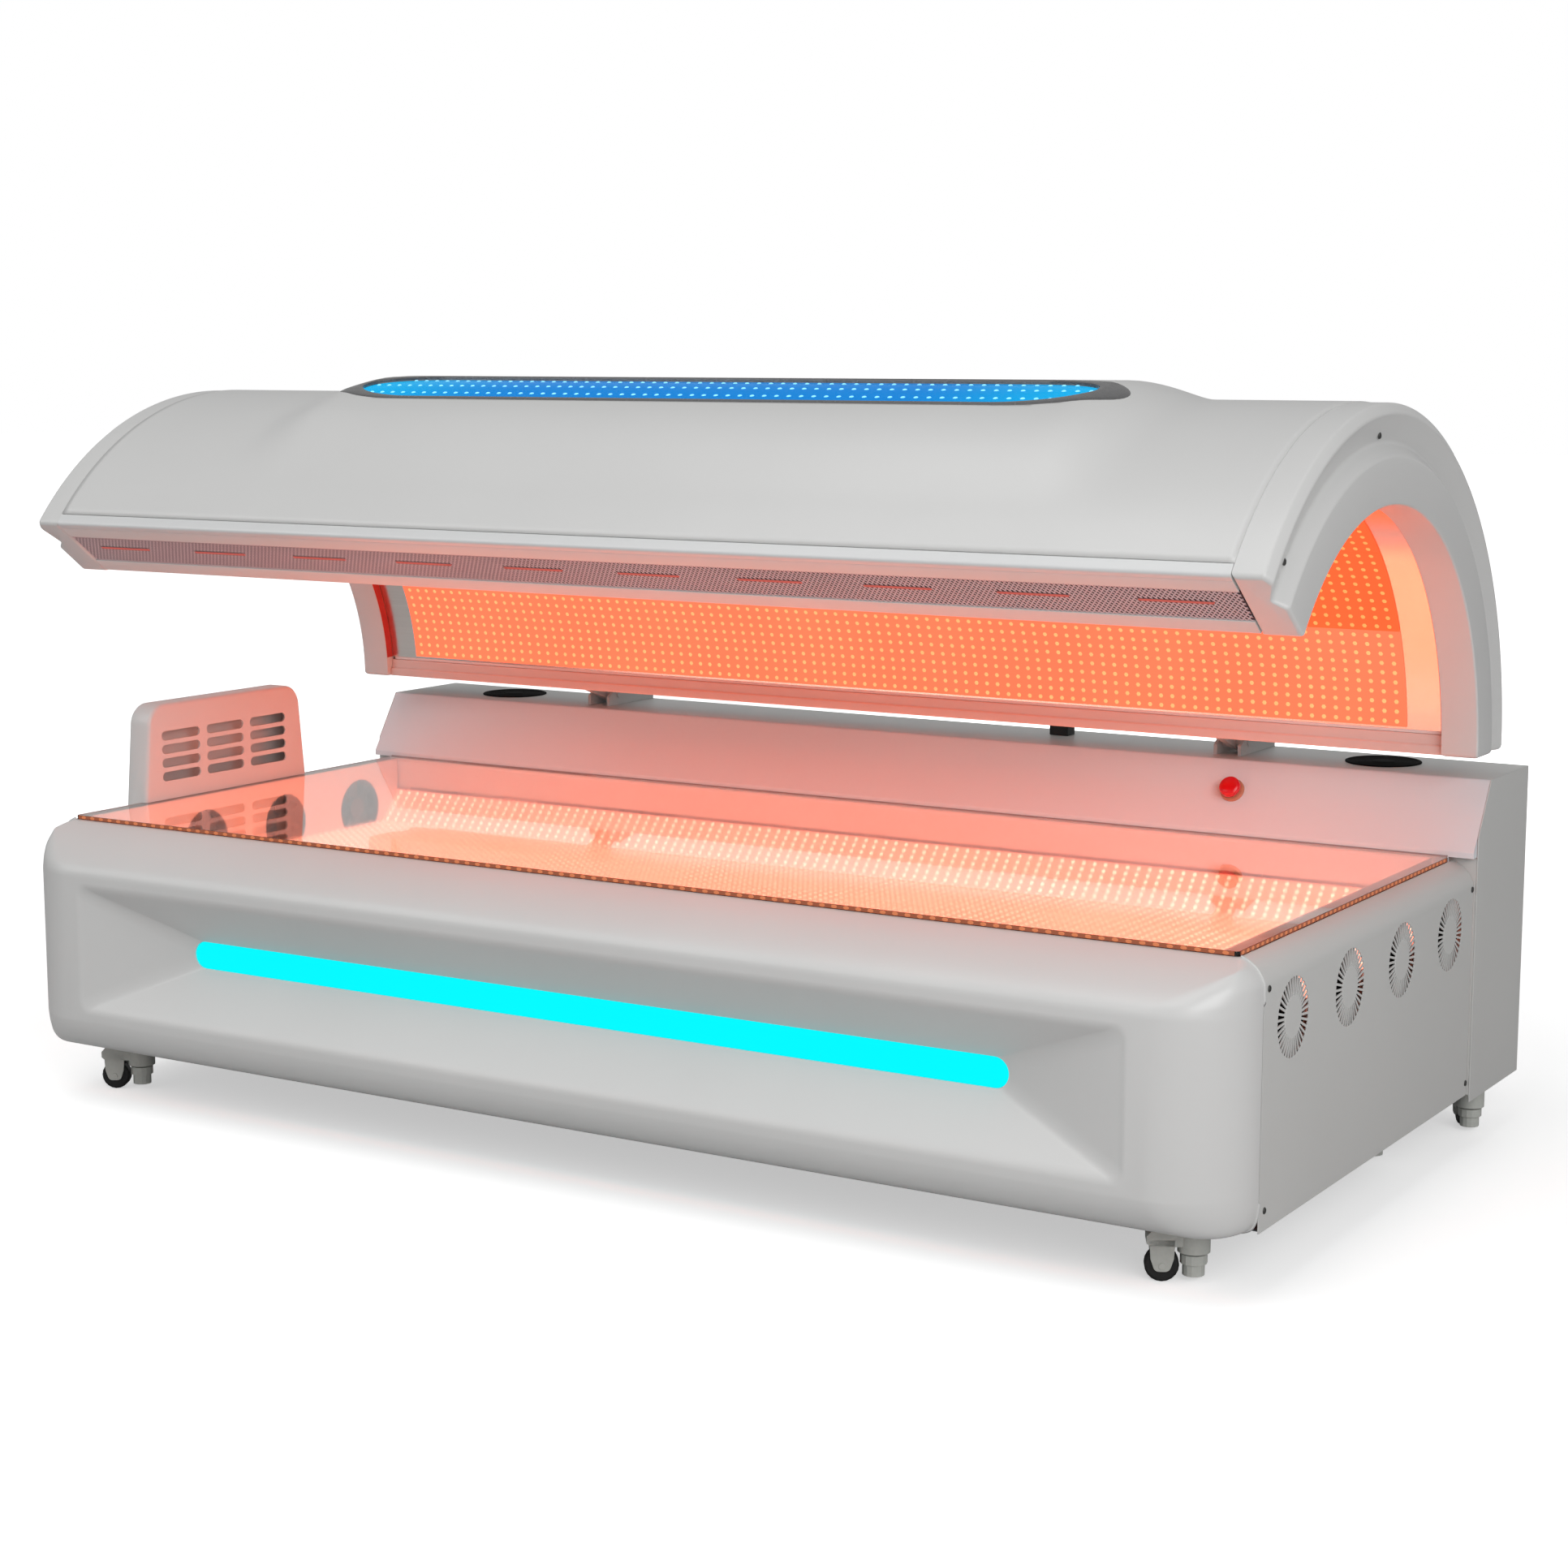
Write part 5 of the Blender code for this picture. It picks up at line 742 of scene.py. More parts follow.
def recess_rings():
    """Loops of the recess from its lip to the light bar's slot, with a rolled lip."""
    lip = recess_ring(LIP_HALF_LENGTH, LIP_LOW_Z, LIP_HIGH_Z, LIP_CORNER_RADIUS)
    inner = recess_ring(LIP_HALF_LENGTH - LIP_WIDTH, LIP_LOW_Z + LIP_WIDTH, LIP_HIGH_Z - LIP_WIDTH,
                        LIP_CORNER_RADIUS)
    half = BAR_HEIGHT / 2 + PLAY
    slot = recess_ring(BAR_HALF_LENGTH + PLAY, BAR_Z - half, BAR_Z + half, half)
    rings = []
    roll_share = 0.07
    slope_share = 6.3
    roll_depth = LIP_DROP + (RECESS_DEPTH - LIP_DROP) * roll_share
    for k in range(7):
        t = k / 6
        # The roll leaves the front face flat and meets the slope along its own line
        depth = roll_depth * t * t
        reach = 2 * t * (1 - t) * 0.68 + t * t * (1 + roll_share * slope_share)
        ring = between(lip, inner, reach) if reach <= 1 else between(inner, slot, (reach - 1) / slope_share)
        rings.append([(x, FRONT_Y + depth, z) for x, z in ring])
    for share in (0.4, 0.7, 1.0):
        depth = LIP_DROP + (RECESS_DEPTH - LIP_DROP) * share
        rings.append([(x, FRONT_Y + depth, z) for x, z in between(inner, slot, share)])
    rings.append([(x, FRONT_Y + RECESS_DEPTH + 0.006, z) for x, z in slot])
    return rings


def make_front_moulding():
    corner_steps = 14
    levels = moulding_levels()
    rows = [[(x, y, z) for x, y in moulding_plan(end, front, corner_steps)] for z, end, front in levels]
    count = len(rows[0])
    points, faces = loft(rows, closed=False)
    front_edge = corner_steps + 1
    low_row = next(i for i, level in enumerate(levels) if abs(level[0] - FACE_LOW_Z) < 1e-6)
    face_quad = low_row * count + front_edge
    faces = [f for f in faces if f[0] != face_quad]
    corners = (face_quad + 1, face_quad + 1 + count, face_quad + count, face_quad)
    rings = recess_rings()
    recess_points, recess_faces = loft(rings)
    start = len(points)
    points += recess_points
    faces += [tuple(start + i for i in f) for f in recess_faces]
    quarter = len(rings[0]) // 4
    for i in range(4):
        loop = [start + i * quarter + k for k in range(quarter)]
        following = start + ((i + 1) % 4) * quarter
        faces.append((corners[i], *loop))
        faces.append((corners[i], loop[-1], following, corners[(i + 1) % 4]))
    shell = piece("front_moulding", (points, faces), white_moulding, "root",
                  ["front_shell"], sharp_deg=60, inside=(0, SEAM_Y, BAR_Z))
    thicken(shell, MOULDING_WALL)
    shade = shell.modifiers.new("shade", 'WEIGHTED_NORMAL')
    shade.keep_sharp = True
    shade.weight = 60


def make_light_bar():
    face_y = FRONT_Y + RECESS_DEPTH
    profile = ((0.0, face_y + BAR_THICKNESS), (0.0, face_y + 0.0030), (0.0010, face_y + 0.0010),
               (0.0030, face_y + 0.0002), (0.0060, face_y))
    rings = []
    for inset, y in profile:
        outline = stadium(BAR_HALF_LENGTH - inset, BAR_HEIGHT / 2 - inset, 16)
        rings.append([(x, y, BAR_Z + z) for x, z in outline])
    piece("light_bar", loft(rings, capped=True), opal_bar, "root", ["light_bar_diffuser"])


# End panels with ring vents and screws

def end_panel_line():
    outer = [(BASE_HALF_LENGTH, SKIRT_Z)]
    outer += [(BASE_HALF_LENGTH - end, z) for z, end, _ in shoulder_line()]
    return outer[::-1]


def ring_vent(y, side):
    """Plain disc held by thin radial bars, in the plane of the end panel."""
    out_x = BASE_HALF_LENGTH
    in_x = BASE_HALF_LENGTH - PANEL_WALL
    disc = turned([(VENT_INNER_RADIUS, in_x), (VENT_INNER_RADIUS, out_x - 0.0006),
                   (VENT_INNER_RADIUS - 0.0006, out_x)], 60)
    spoke = block((-VENT_BAR_WIDTH / 2, VENT_INNER_RADIUS - 0.001, in_x + 0.0002),
                  (VENT_BAR_WIDTH / 2, VENT_OUTER_RADIUS + 0.001, out_x - 0.0002))
    shapes = [disc]
    for i in range(VENT_BARS):
        shapes.append(placed(spoke, Matrix.Rotation(math.tau * (i + 0.5) / VENT_BARS, 4, 'Z')))
    turn = Matrix(((0, 0, side, 0), (1, 0, 0, y), (0, 1, 0, VENT_Z), (0, 0, 0, 1)))
    return placed(joined(shapes), turn)


def screw_head(place, out, up, radius):
    """Pan-head screw with a cross recess, seated on a face."""
    head = turned([(radius, -0.0005), (radius, 0.0007), (radius * 0.86, 0.0015), (radius * 0.55, 0.0020),
                   (radius * 0.50, 0.0012)], 18)
    arm = radius * 0.42
    cross = [block((-arm, -arm * 0.22, 0.0009), (arm, arm * 0.22, 0.00135)),
             block((-arm * 0.22, -arm, 0.0009), (arm * 0.22, arm, 0.0013))]
    return placed(joined([head] + cross), facing(place, out, up))


def make_end_panels():
    for end, side in ENDS:
        out = (side, 0, 0)
        outline = [(side * x, z) for x, z in bent_sheet(end_panel_line(), PANEL_WALL)]
        panel = piece(end + "_panel", along_y(outline, SEAM_Y + SEAM_GAP / 2, COVER_FRONT_Y - 0.0010),
                      white_panel, "root", [end + "_end_panel"])
        hole = turned([(VENT_OUTER_RADIUS, -0.010), (VENT_OUTER_RADIUS, 0.010)], 60)
        turn = Matrix(((0, 0, 1), (1, 0, 0), (0, 1, 0))).to_4x4()
        holes = [placed(hole, Matrix.Translation((side * BASE_HALF_LENGTH, y, VENT_Z)) @ turn)
                 for y in VENT_YS]
        carve(panel, joined(holes))
        soften(panel, FINE_EDGE, 2)
        vents = [ring_vent(y, side) for y in VENT_YS]
        piece(end + "_ring_vents", joined(vents), white_panel, "root")
        # Black pads behind the vents: painted shade, a dark stand-in for the shade inside the base
        pad = turned([(VENT_OUTER_RADIUS + 0.004, 0.0), (VENT_OUTER_RADIUS + 0.004, 0.003),
                      (VENT_OUTER_RADIUS + 0.002, 0.004), (VENT_INNER_RADIUS, 0.005)], 48)
        shade_pads = [placed(pad, facing((side * (BASE_HALF_LENGTH - 0.012), y, VENT_Z), out, UP))
                   for y in VENT_YS]
        piece(end + "_vent_shade_pads", joined(shade_pads), black_cloth, "root")
        screws = [screw_head((side * BASE_HALF_LENGTH, y, z), out, UP, PANEL_SCREW_RADIUS)
                  for y, z in PANEL_SCREWS]
        piece(end + "_panel_screws", joined(screws), screw_steel, "root")


# Light boards

def board_field(line, half_length, boards, rows):
    """Boards on a strip along X, and the light dots on them. The strip's face runs through a line of (y, z)
    points, lit on its left; rows of dots are spread evenly along it."""
    gap = 0.0008
    step = 2 * half_length / boards
    back = bent_sheet(line, BOARD_THICKNESS)
    plates = [along_x(back, -half_length + step * i + gap / 2, -half_length + step * (i + 1) - gap / 2)
              for i in range(boards)]
    lengths = [math.dist(a, b) for a, b in zip(line, line[1:])]
    columns = int(2 * half_length / DOT_PITCH_ALONG)
    dots = []
    for k in range(rows):
        reach = sum(lengths) * (k + 0.5) / rows
        i = 0
        while reach > lengths[i]:
            reach -= lengths[i]
            i += 1
        (y0, z0), (y1, z1) = line[i], line[i + 1]
        across = Vector((0, y1 - y0, z1 - z0)).normalized()
        foot = Vector((0, y0, z0)) + across * reach
        places = [foot + ALONG * DOT_PITCH_ALONG * (c - (columns - 1) / 2) for c in range(columns)]
        dots.append(domes(places, ALONG, across, ALONG.cross(across), DOT_RADIUS, DOT_HEIGHT))
    return joined(plates), joined(dots)


def make_upper_boards():
    step = (LINER_END_DEG - LINER_START_DEG) / LINER_STRIPS
    radius = LINER_RADIUS - PLAY - BOARD_THICKNESS
    seam = math.degrees(0.0006 / radius)
    margin = 0.5
    made = []
    for k in range(LINER_STRIPS):
        first = LINER_START_DEG + step * k + (margin if k == 0 else seam)
        last = LINER_START_DEG + step * (k + 1) - (margin if k == LINER_STRIPS - 1 else seam)
        line = [pipe_point(radius, first + (last - first) * i / 10) for i in range(11)]
        made.append(board_field(line, BOARD_HALF_LENGTH, 6, 10))
    # The strips are driven lower towards the front edge, so that they don't dazzle whoever stands at the bed
    groups = (("upper_rear", made[:1], rear_board, rear_lens, ["upper_led_boards"]),
              ("upper_middle", made[1:3], red_board, red_lens, []),
              ("upper_front", made[3:], dim_board, dim_lens, []))
    for name, strips, board, lens, nodes in groups:
        boards, dots = (joined(shapes) for shapes in zip(*strips))
        piece(name + "_boards", boards, board, "canopy", nodes, weld=False)
        piece(name + "_dots", dots, lens, "canopy", weld=False)


def make_lower_boards():
    flank = TRAY_FLOOR_HALF_WIDTH + TRAY_SLOPE_RUN
    rise = TRAY_FLOOR_Z + TRAY_SLOPE_RISE
    line = [(TRAY_MIDDLE_Y - flank, rise), (TRAY_MIDDLE_Y - TRAY_FLOOR_HALF_WIDTH, TRAY_FLOOR_Z),
            (TRAY_MIDDLE_Y + TRAY_FLOOR_HALF_WIDTH, TRAY_FLOOR_Z), (TRAY_MIDDLE_Y + flank, rise)]
    floor_rows = round(2 * TRAY_FLOOR_HALF_WIDTH / DOT_PITCH_ACROSS)
    strips = [board_field([a, b], TRAY_HALF_LENGTH, 6, rows)
              for a, b, rows in zip(line, line[1:], (TRAY_SLOPE_ROWS, floor_rows, TRAY_SLOPE_ROWS))]
    boards, dots = (joined(shapes) for shapes in zip(*strips))
    piece("lower_boards", boards, bed_board, "root", ["lower_led_boards"], weld=False)
    piece("lower_light_dots", dots, bed_lens, "root", weld=False)


def make_acrylic_rim():
    """Painted light in the acrylic's sawn edge: a brown rim and a glint for every diode below, glowing in
    place of the light that the edge catches.
    """
    low, high = ACRYLIC_LOW_Z + 0.0020, BED_TOP_Z - 0.0002
    proud = 0.0004
    middle = (low + high) / 2
    x_reach = ACRYLIC_HALF_LENGTH - 0.006
    y_low, y_high = ACRYLIC_FRONT_Y + 0.006, ACRYLIC_REAR_Y - 0.010
    # Glints are drawn out along the edge and pressed flat across it
    long_share, tall, glint = 1.5, UP * 0.8, (0.0034, 0.0004, 8)
    rims = [block((-x_reach, ACRYLIC_FRONT_Y - proud, low), (x_reach, ACRYLIC_FRONT_Y - 0.0001, high))]
    count = int(x_reach / DOT_PITCH_ALONG)
    places = [Vector((i * DOT_PITCH_ALONG, ACRYLIC_FRONT_Y - proud, middle))
              for i in range(-count, count + 1)]
    sparks = [domes(places, ALONG * long_share, tall, Vector((0, -1, 0)), *glint)]
    count = int((y_high - y_low) / DOT_PITCH_ACROSS)
    for side in (-1, 1):
        face = side * (ACRYLIC_HALF_LENGTH + proud)
        near, far = sorted((side * (ACRYLIC_HALF_LENGTH + 0.0001), face))
        rims.append(block((near, y_low, low), (far, y_high, high)))
        places = [Vector((face, y_low + DOT_PITCH_ACROSS * (i + 0.5), middle)) for i in range(count)]
        sparks.append(domes(places, Vector((0, long_share, 0)), tall, ALONG * side, *glint))
    # The rim and its glints are painted light, glowing in place of the light that the edge catches
    piece("acrylic_rim", joined(rims), rim_painted_glow, "root", weld=False)
    piece("acrylic_rim_painted_glints", joined(sparks), rim_painted_glints, "root", weld=False)


# Head vent box

def vent_box_outline(inset):
    foot_low, foot_high = VENT_BOX_FOOT
    head_low, head_high = VENT_BOX_HEAD
    radius = VENT_BOX_CORNER - inset
    top = VENT_BOX_TOP_Z - inset
    right = arc((head_high - VENT_BOX_CORNER, top - radius), radius, 0, 90, 12)
    left = arc((head_low + VENT_BOX_CORNER, top - radius), radius, 90, 180, 12)
    return [(foot_low + inset, VENT_BOX_LOW_Z), (foot_high - inset, VENT_BOX_LOW_Z)] + right + left


def make_head_vent():
    edge = 0.007
    levels = [(VENT_BOX_BACK_X + edge * u, edge * v) for u, v in quarter_round(4)]
    levels += [(VENT_BOX_FRONT_X - edge * v, edge * u) for u, v in quarter_round(4)]
    shape = loft([[(x, y, z) for y, z in vent_box_outline(inset)] for x, inset in levels], capped=True)
    sharp_deg = 40
    box = piece("head_vent", shape, white_moulding, "root", ["head_vent_box"], sharp_deg)
    wall = VENT_BOX_WALL
    carve(box, along_x(vent_box_outline(wall), VENT_BOX_BACK_X + wall, VENT_BOX_FRONT_X - wall))
    # The foot follows the acrylic sheet and the end panel's shoulder
    top = BED_TOP_Z + PLAY
    shoulder = [(-(BASE_HALF_LENGTH - end) - PLAY, z + 2 * PLAY) for z, end, _ in shoulder_line()]
    under = [(VENT_BOX_FRONT_X + wall, FACE_HIGH_Z), (VENT_BOX_FRONT_X + wall, top),
             (-ACRYLIC_HALF_LENGTH - 0.0005, top)] + shoulder[::-1]
    carve(box, along_y(under, VENT_BOX_FOOT[0] - wall, VENT_BOX_FOOT[1] + wall))
    length, height = VENT_BOX_SLOT
    slots = []
    for row in range(4):
        for column in range(3):
            y = VENT_BOX_GRILLE[0] + (column - 1) * VENT_BOX_PITCH[0]
            z = VENT_BOX_GRILLE[1] + (row - 1.5) * VENT_BOX_PITCH[1]
            outline = [(y + u, z + v) for u, v in stadium(length / 2, height / 2 - 0.0004, 6)]
            slots.append(along_x(outline, VENT_BOX_FRONT_X - 2 * wall, VENT_BOX_FRONT_X + wall))
    carve(box, joined(slots))
    smooth(box.data, sharp_deg)


# Canopy

def crown_radius(x, deg):
    """Outer radius of the canopy skin, with its raised crown."""
    along = smooth_step((CROWN_END_X - abs(x - CROWN_X)) / (CROWN_END_X - CROWN_FLAT_X))
    around = smooth_step((CROWN_END_DEG - abs(deg - 90)) / (CROWN_END_DEG - CROWN_FLAT_DEG))
    return SKIN_RADIUS + CROWN_RISE * along * around


def crown_point(x, y, lift):
    """Point of the canopy skin over a place in plan, raised by lift along the radius."""
    deg = 90.0
    for _ in range(6):
        deg = math.degrees(math.acos(max(-1.0, min(1.0, (y - PIPE_Y) / (crown_radius(x, deg) + lift)))))
    point = pipe_point(crown_radius(x, deg) + lift, deg)
    return Vector((x, *point)), Vector((0, math.cos(math.radians(deg)), math.sin(math.radians(deg))))


def window_sizes(inset):
    """Half length of the straight part, length of the half-elliptical ends and half width, set in from the
    bezel's outer edge."""
    half_width = WINDOW_HALF_WIDTH - inset
    end_length = WINDOW_END_LENGTH * half_width / WINDOW_HALF_WIDTH
    return WINDOW_HALF_LENGTH - inset * BEZEL_TIP_SHARE - end_length, end_length, half_width


def in_window(x, y, inset):
    straight, end_length, half_width = window_sizes(inset)
    return math.hypot(max(abs(x - CROWN_X) - straight, 0.0) / end_length, (y - WINDOW_Y) / half_width) < 1


def make_canopy_shell():
    columns, rows = 200, 112
    rings = []
    for i in range(columns + 1):
        x = -SHELL_HALF_LENGTH + 2 * SHELL_HALF_LENGTH * i / columns
        rings.append([(x, *pipe_point(crown_radius(x, SHELL_END_DEG * k / rows), SHELL_END_DEG * k / rows))
                      for k in range(rows + 1)])
    points, faces = loft(rings, closed=False)
    # The opening for the window: faces inside it go, and the rest are drawn back to its edge under the bezel
    under_bezel = 0.003
    straight, end_length, half_width = window_sizes(under_bezel)
    inside = {i for i, (x, y, z) in enumerate(points)
              if z > PIPE_Z + PIPE_RADIUS / 2 and in_window(x, y, under_bezel)}
    faces = [f for f in faces if not inside.issuperset(f)]
    for i in inside:
        x, y, _ = points[i]
        past = max(abs(x - CROWN_X) - straight, 0.0) / end_length
        reach = half_width * math.sqrt(1 - past * past)
        points[i] = tuple(crown_point(x, WINDOW_Y + math.copysign(reach, y - WINDOW_Y), 0.0)[0])
    shell = piece("canopy_skin", (points, faces), white_moulding, "canopy",
                  ["canopy_shell"], inside=(0, PIPE_Y, PIPE_Z))
    thicken(shell, SHELL_WALL)


def window_ring(inset, lift, steps=28, sides=40):
    """Ring of points on the crown, along the window's two straight sides and round its two ends."""
    straight, end_length, half_width = window_sizes(inset)
    right = [(straight * (2 * i / sides - 1), -half_width) for i in range(sides)]
    for i in range(steps + 1):
        angle = math.pi * (i / steps - 0.5)
        right.append((straight + end_length * math.cos(angle), half_width * math.sin(angle)))
    outline = right + [(-x, -y) for x, y in right]
    return [crown_point(CROWN_X + x, WINDOW_Y + y, lift)[0] for x, y in outline]


def crown_sheet(rim, low, high):
    """A sheet under the crown, from a rim inwards, between two lifts."""
    inner = WINDOW_HALF_WIDTH - 0.0004
    steps = [rim + (inner - rim) * i / 12 for i in range(13)]
    rings = [window_ring(inset, low) for inset in steps[::-1]]
    rings += [window_ring(inset, high) for inset in steps]
    return loft(rings, capped=True)


def make_crown_window():
    bezel = ((0.0, -0.006), (0.0, 0.0003), (0.0006, 0.0011), (0.0018, 0.0015), (BEZEL_WIDTH - 0.0018, 0.0015),
             (BEZEL_WIDTH - 0.0006, 0.0010), (BEZEL_WIDTH, 0.0), (BEZEL_WIDTH, -0.006))
    rings = [window_ring(inset, lift) for inset, lift in bezel]
    piece("window_bezel", loft(rings + rings[:1]), grey_bezel, "canopy", ["crown_bezel"])
    rim = BEZEL_WIDTH - BOARD_OVERLAP
    board_face = -0.0063
    piece("window_pane", crown_sheet(BEZEL_WIDTH + PLAY, -0.005, -0.001), crown_pane, "canopy",
          ["crown_window"])
    piece("window_display", crown_sheet(rim, -0.0093, board_face), blue_board, "canopy",
          ["crown_led_board"])
    dots = []
    span = int(WINDOW_HALF_LENGTH / BLUE_DOT_PITCH)
    for i in range(-span, span + 1):
        for row in BLUE_DOT_ROWS:
            x, y = CROWN_X + i * BLUE_DOT_PITCH, WINDOW_Y + row
            if in_window(x, y, rim + 0.005):
                place, out = crown_point(x, y, board_face)
                dots.append(domes([place], ALONG, out.cross(ALONG), out, BLUE_DOT_RADIUS, DOT_HEIGHT))
    piece("window_light_dots", joined(dots), blue_lens, "canopy", weld=False)


def make_end_caps():
    profile = rounded_outline(CAP_PROFILE, CAP_ROUNDS, 6)
    low_x, high_x = CAP_PROFILE[0][0], CAP_PROFILE[1][0]
    low_r, high_r = CAP_PROFILE[0][1], CAP_PROFILE[-1][1]
    middle_x, half_x = (low_x + high_x) / 2, (high_x - low_x) / 2
    middle_r, half_r = (low_r + high_r) / 2, (high_r - low_r) / 2
    # The two ends of each cap are rounded over like its rim
    turn = math.degrees(CAP_END_ROUND / middle_r)
    rounding = [(turn * v, CAP_END_ROUND * u) for u, v in quarter_round(5)]
    steps = 88
    turns = rounding[::-1]
    turns += [(turn + (PIPE_END_DEG - 2 * turn) * i / steps, 0.0) for i in range(1, steps)]
    turns += [(PIPE_END_DEG - d, i) for d, i in rounding]
    for end, side in ENDS:
        rings = []
        for deg, inset in turns:
            along, across = 1 - inset / half_x, 1 - inset / half_r
            rings.append([(side * (middle_x + (x - middle_x) * along),
                           *pipe_point(middle_r + (r - middle_r) * across, deg)) for x, r in profile])
        piece(end + "_canopy_cap", loft(rings, capped=True), white_moulding, "canopy",
              ["canopy_end_cap_" + end], sharp_deg=50)
        places = [(side * CAP_SCREW_X, *pipe_point(radius, deg)) for radius, deg in CAP_SCREWS]
        screws = [screw_head(place, (side, 0, 0), UP, CAP_SCREW_RADIUS) for place in places]
        piece(end + "_cap_screws", joined(screws), screw_steel, "canopy")


def front_bar(inner, outer, start_deg, rounds, steps):
    """Rounded section of a bar along the canopy's front edge, between two radii."""
    corners = [pipe_point(outer, start_deg), pipe_point(outer, PIPE_END_DEG),
               pipe_point(inner, PIPE_END_DEG), pipe_point(inner, start_deg)]
    return rounded_outline(corners, rounds, steps)


def make_canopy_rails():
    inner, outer = RAIL_RADII
    start = SHELL_END_DEG + 0.04
    bright = outer - RAIL_BRIGHT_DEPTH
    low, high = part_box("front_rail")
    outline = front_bar(bright, outer, start, (0.0030, 0.0060, 0.0006, 0.0005), 6)
    piece("front_edge_rail", along_x(outline, low.x, high.x), rail_lacquer, "canopy", ["front_rail"])
    outline = front_bar(inner, bright - 0.0004, start, (0.0005, 0.0008, 0.0012, 0.0005), 4)
    piece("front_edge_lip", along_x(outline, low.x, high.x), satin_trim, "canopy")
    low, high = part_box("rear_rail")
    step_z = (low.z + high.z) / 2
    step_y = low.y + 0.004
    corners = [(low.y, low.z), (high.y, low.z), (high.y, high.z), (step_y, high.z), (step_y, step_z),
               (low.y, step_z - 0.002)]
    outline = rounded_outline(corners, (0.003, 0.002, 0.002, 0.003, 0.001, 0.002), 4)
    # The rear rail's pink is painted red light
    piece("rear_edge_rail", along_x(outline, low.x, high.x), red_lit_rear_trim, "canopy", ["rear_rail"])
    seal = along_x(REAR_SEAL, -REAR_SEAL_HALF_LENGTH, REAR_SEAL_HALF_LENGTH)
    piece("rear_board_seal", seal, satin_trim, "canopy")


def make_lining():
    """Bright sheet rolled to the canopy's curve, with a turned lip along its front edge."""
    low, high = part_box("canopy_liner")
    line = [pipe_point(LINER_RADIUS, LINER_START_DEG + (LINER_LIP_START_DEG - LINER_START_DEG) * i / 60)
            for i in range(61)]
    piece("canopy_lining", along_x(bent_sheet(line, LINER_WALL), low.x, high.x), bright_liner, "canopy",
          ["canopy_liner"])
    outline = front_bar(*LINER_LIP_RADII, LINER_LIP_START_DEG, (0.0005, 0.0010, 0.0030, 0.0030), 5)
    piece("lining_lip", along_x(outline, low.x, high.x), satin_trim, "canopy")
    # The strips at the lining's two ends are painted red, for the boards' light on them
    seals = []
    inner, outer = LINER_SEAL_RADII
    turns = [LINER_START_DEG + (LINER_END_DEG - LINER_START_DEG) * i / 60 for i in range(61)]
    for side in (-1, 1):
        near, far = side * (SHELL_HALF_LENGTH - 0.0008), side * (SHELL_HALF_LENGTH - 0.0002)
        ring = [(near, inner), (far, inner), (far, outer), (near, outer)]
        seals.append(loft([[(x, *pipe_point(r, deg)) for x, r in ring] for deg in turns], capped=True))
    piece("lining_end_seals", joined(seals), red_light_painted_seal, "canopy")


def clipped(a, b, limit):
    """The part of a straight line whose first coordinate stays within a limit either way."""
    run = b[0] - a[0]
    low, high = sorted(((-limit - a[0]) / run, (limit - a[0]) / run))
    low, high = max(low, 0.0), min(high, 1.0)
    if high <= low:
        return None
    return [(a[0] + run * t, a[1] + (b[1] - a[1]) * t) for t in (low, high)]


def make_vent_strip():
    """Expanded mesh in the canopy's front edge over a backing painted dark as the shade behind it, with long
    slots that glow with painted light.
    """
    inner = LINER_LIP_RADII[1] + PLAY
    outer = RAIL_RADII[0] - PLAY
    place = Matrix.Translation((0, PIPE_Y, PIPE_Z)) @ Matrix.Rotation(math.radians(PIPE_END_DEG), 4, 'X')
    face = -VENT_STRIP_SET_BACK
    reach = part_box("front_vent_strip")[1].x
    lean = (outer - inner) * MESH_PITCH[0] / MESH_PITCH[1]
    half = MESH_STRAND / 2
    strands = []
    for hand in (-1, 1):
        depth = face - (MESH_THICKNESS if hand > 0 else 0.0)
        for i in range(int((2 * reach + lean) / MESH_PITCH[0]) + 1):
            foot = -reach + MESH_PITCH[0] * i - (lean if hand > 0 else 0.0)
            line = clipped((foot, inner), (foot + hand * lean, outer), reach - half)
            if line:
                (x0, r0), (x1, r1) = line
                ring = [(x0 - half, r0), (x0 + half, r0), (x1 + half, r1), (x1 - half, r1)]
                strands.append(loft([[(x, r, z) for x, r in ring] for z in (depth - MESH_THICKNESS, depth)],
                                    capped=True))
    # The mesh's pink tint is painted red light
    piece("front_vent_mesh", placed(joined(strands), place), red_lit_vent_mesh, "canopy", weld=False)
    # A dark backing behind the mesh: painted shade for the cavity behind it
    back = face - 0.0025
    ridges = [block((-reach, inner, back - 0.0010), (reach, outer, back))]
    rib = VENT_STRIP_RIB / 2
    for i in range(VENT_STRIP_SLOTS + 1):
        x = (i - VENT_STRIP_SLOTS / 2) * VENT_STRIP_SLOT_PITCH
        x = max(-reach + rib, min(reach - rib, x))
        ridges.append(block((x - rib, inner, back - 0.0012), (x + rib, outer, back + 0.0008)))
    length, height = VENT_STRIP_SLOT
    middles = [(i - (VENT_STRIP_SLOTS - 1) / 2) * VENT_STRIP_SLOT_PITCH for i in range(VENT_STRIP_SLOTS)]
    foot = VENT_STRIP_SLOT_RADIUS + height / 2 + 0.0002
    for x in middles:
        ridges.append(block((x - length / 2, foot, back), (x + length / 2, foot + 0.0014, face + 0.0001)))
    piece("front_vent_backing", placed(joined(ridges), place), shade_painted_backing, "canopy",
          ["front_vent_strip"], weld=False)
    # The slots glow with painted light, for the boards' light that leaks through them
    glow_patches = []
    for x in middles:
        outline = [(x + u, VENT_STRIP_SLOT_RADIUS + v) for u, v in stadium(length / 2, height / 2, 6)]
        glow_patches.append(loft([[(u, v, z) for u, v in outline] for z in (back, face + 0.0002)], capped=True))
    piece("front_vent_slots", placed(joined(glow_patches), place), painted_slot_glow, "canopy", weld=False)


# Rear console and its fittings

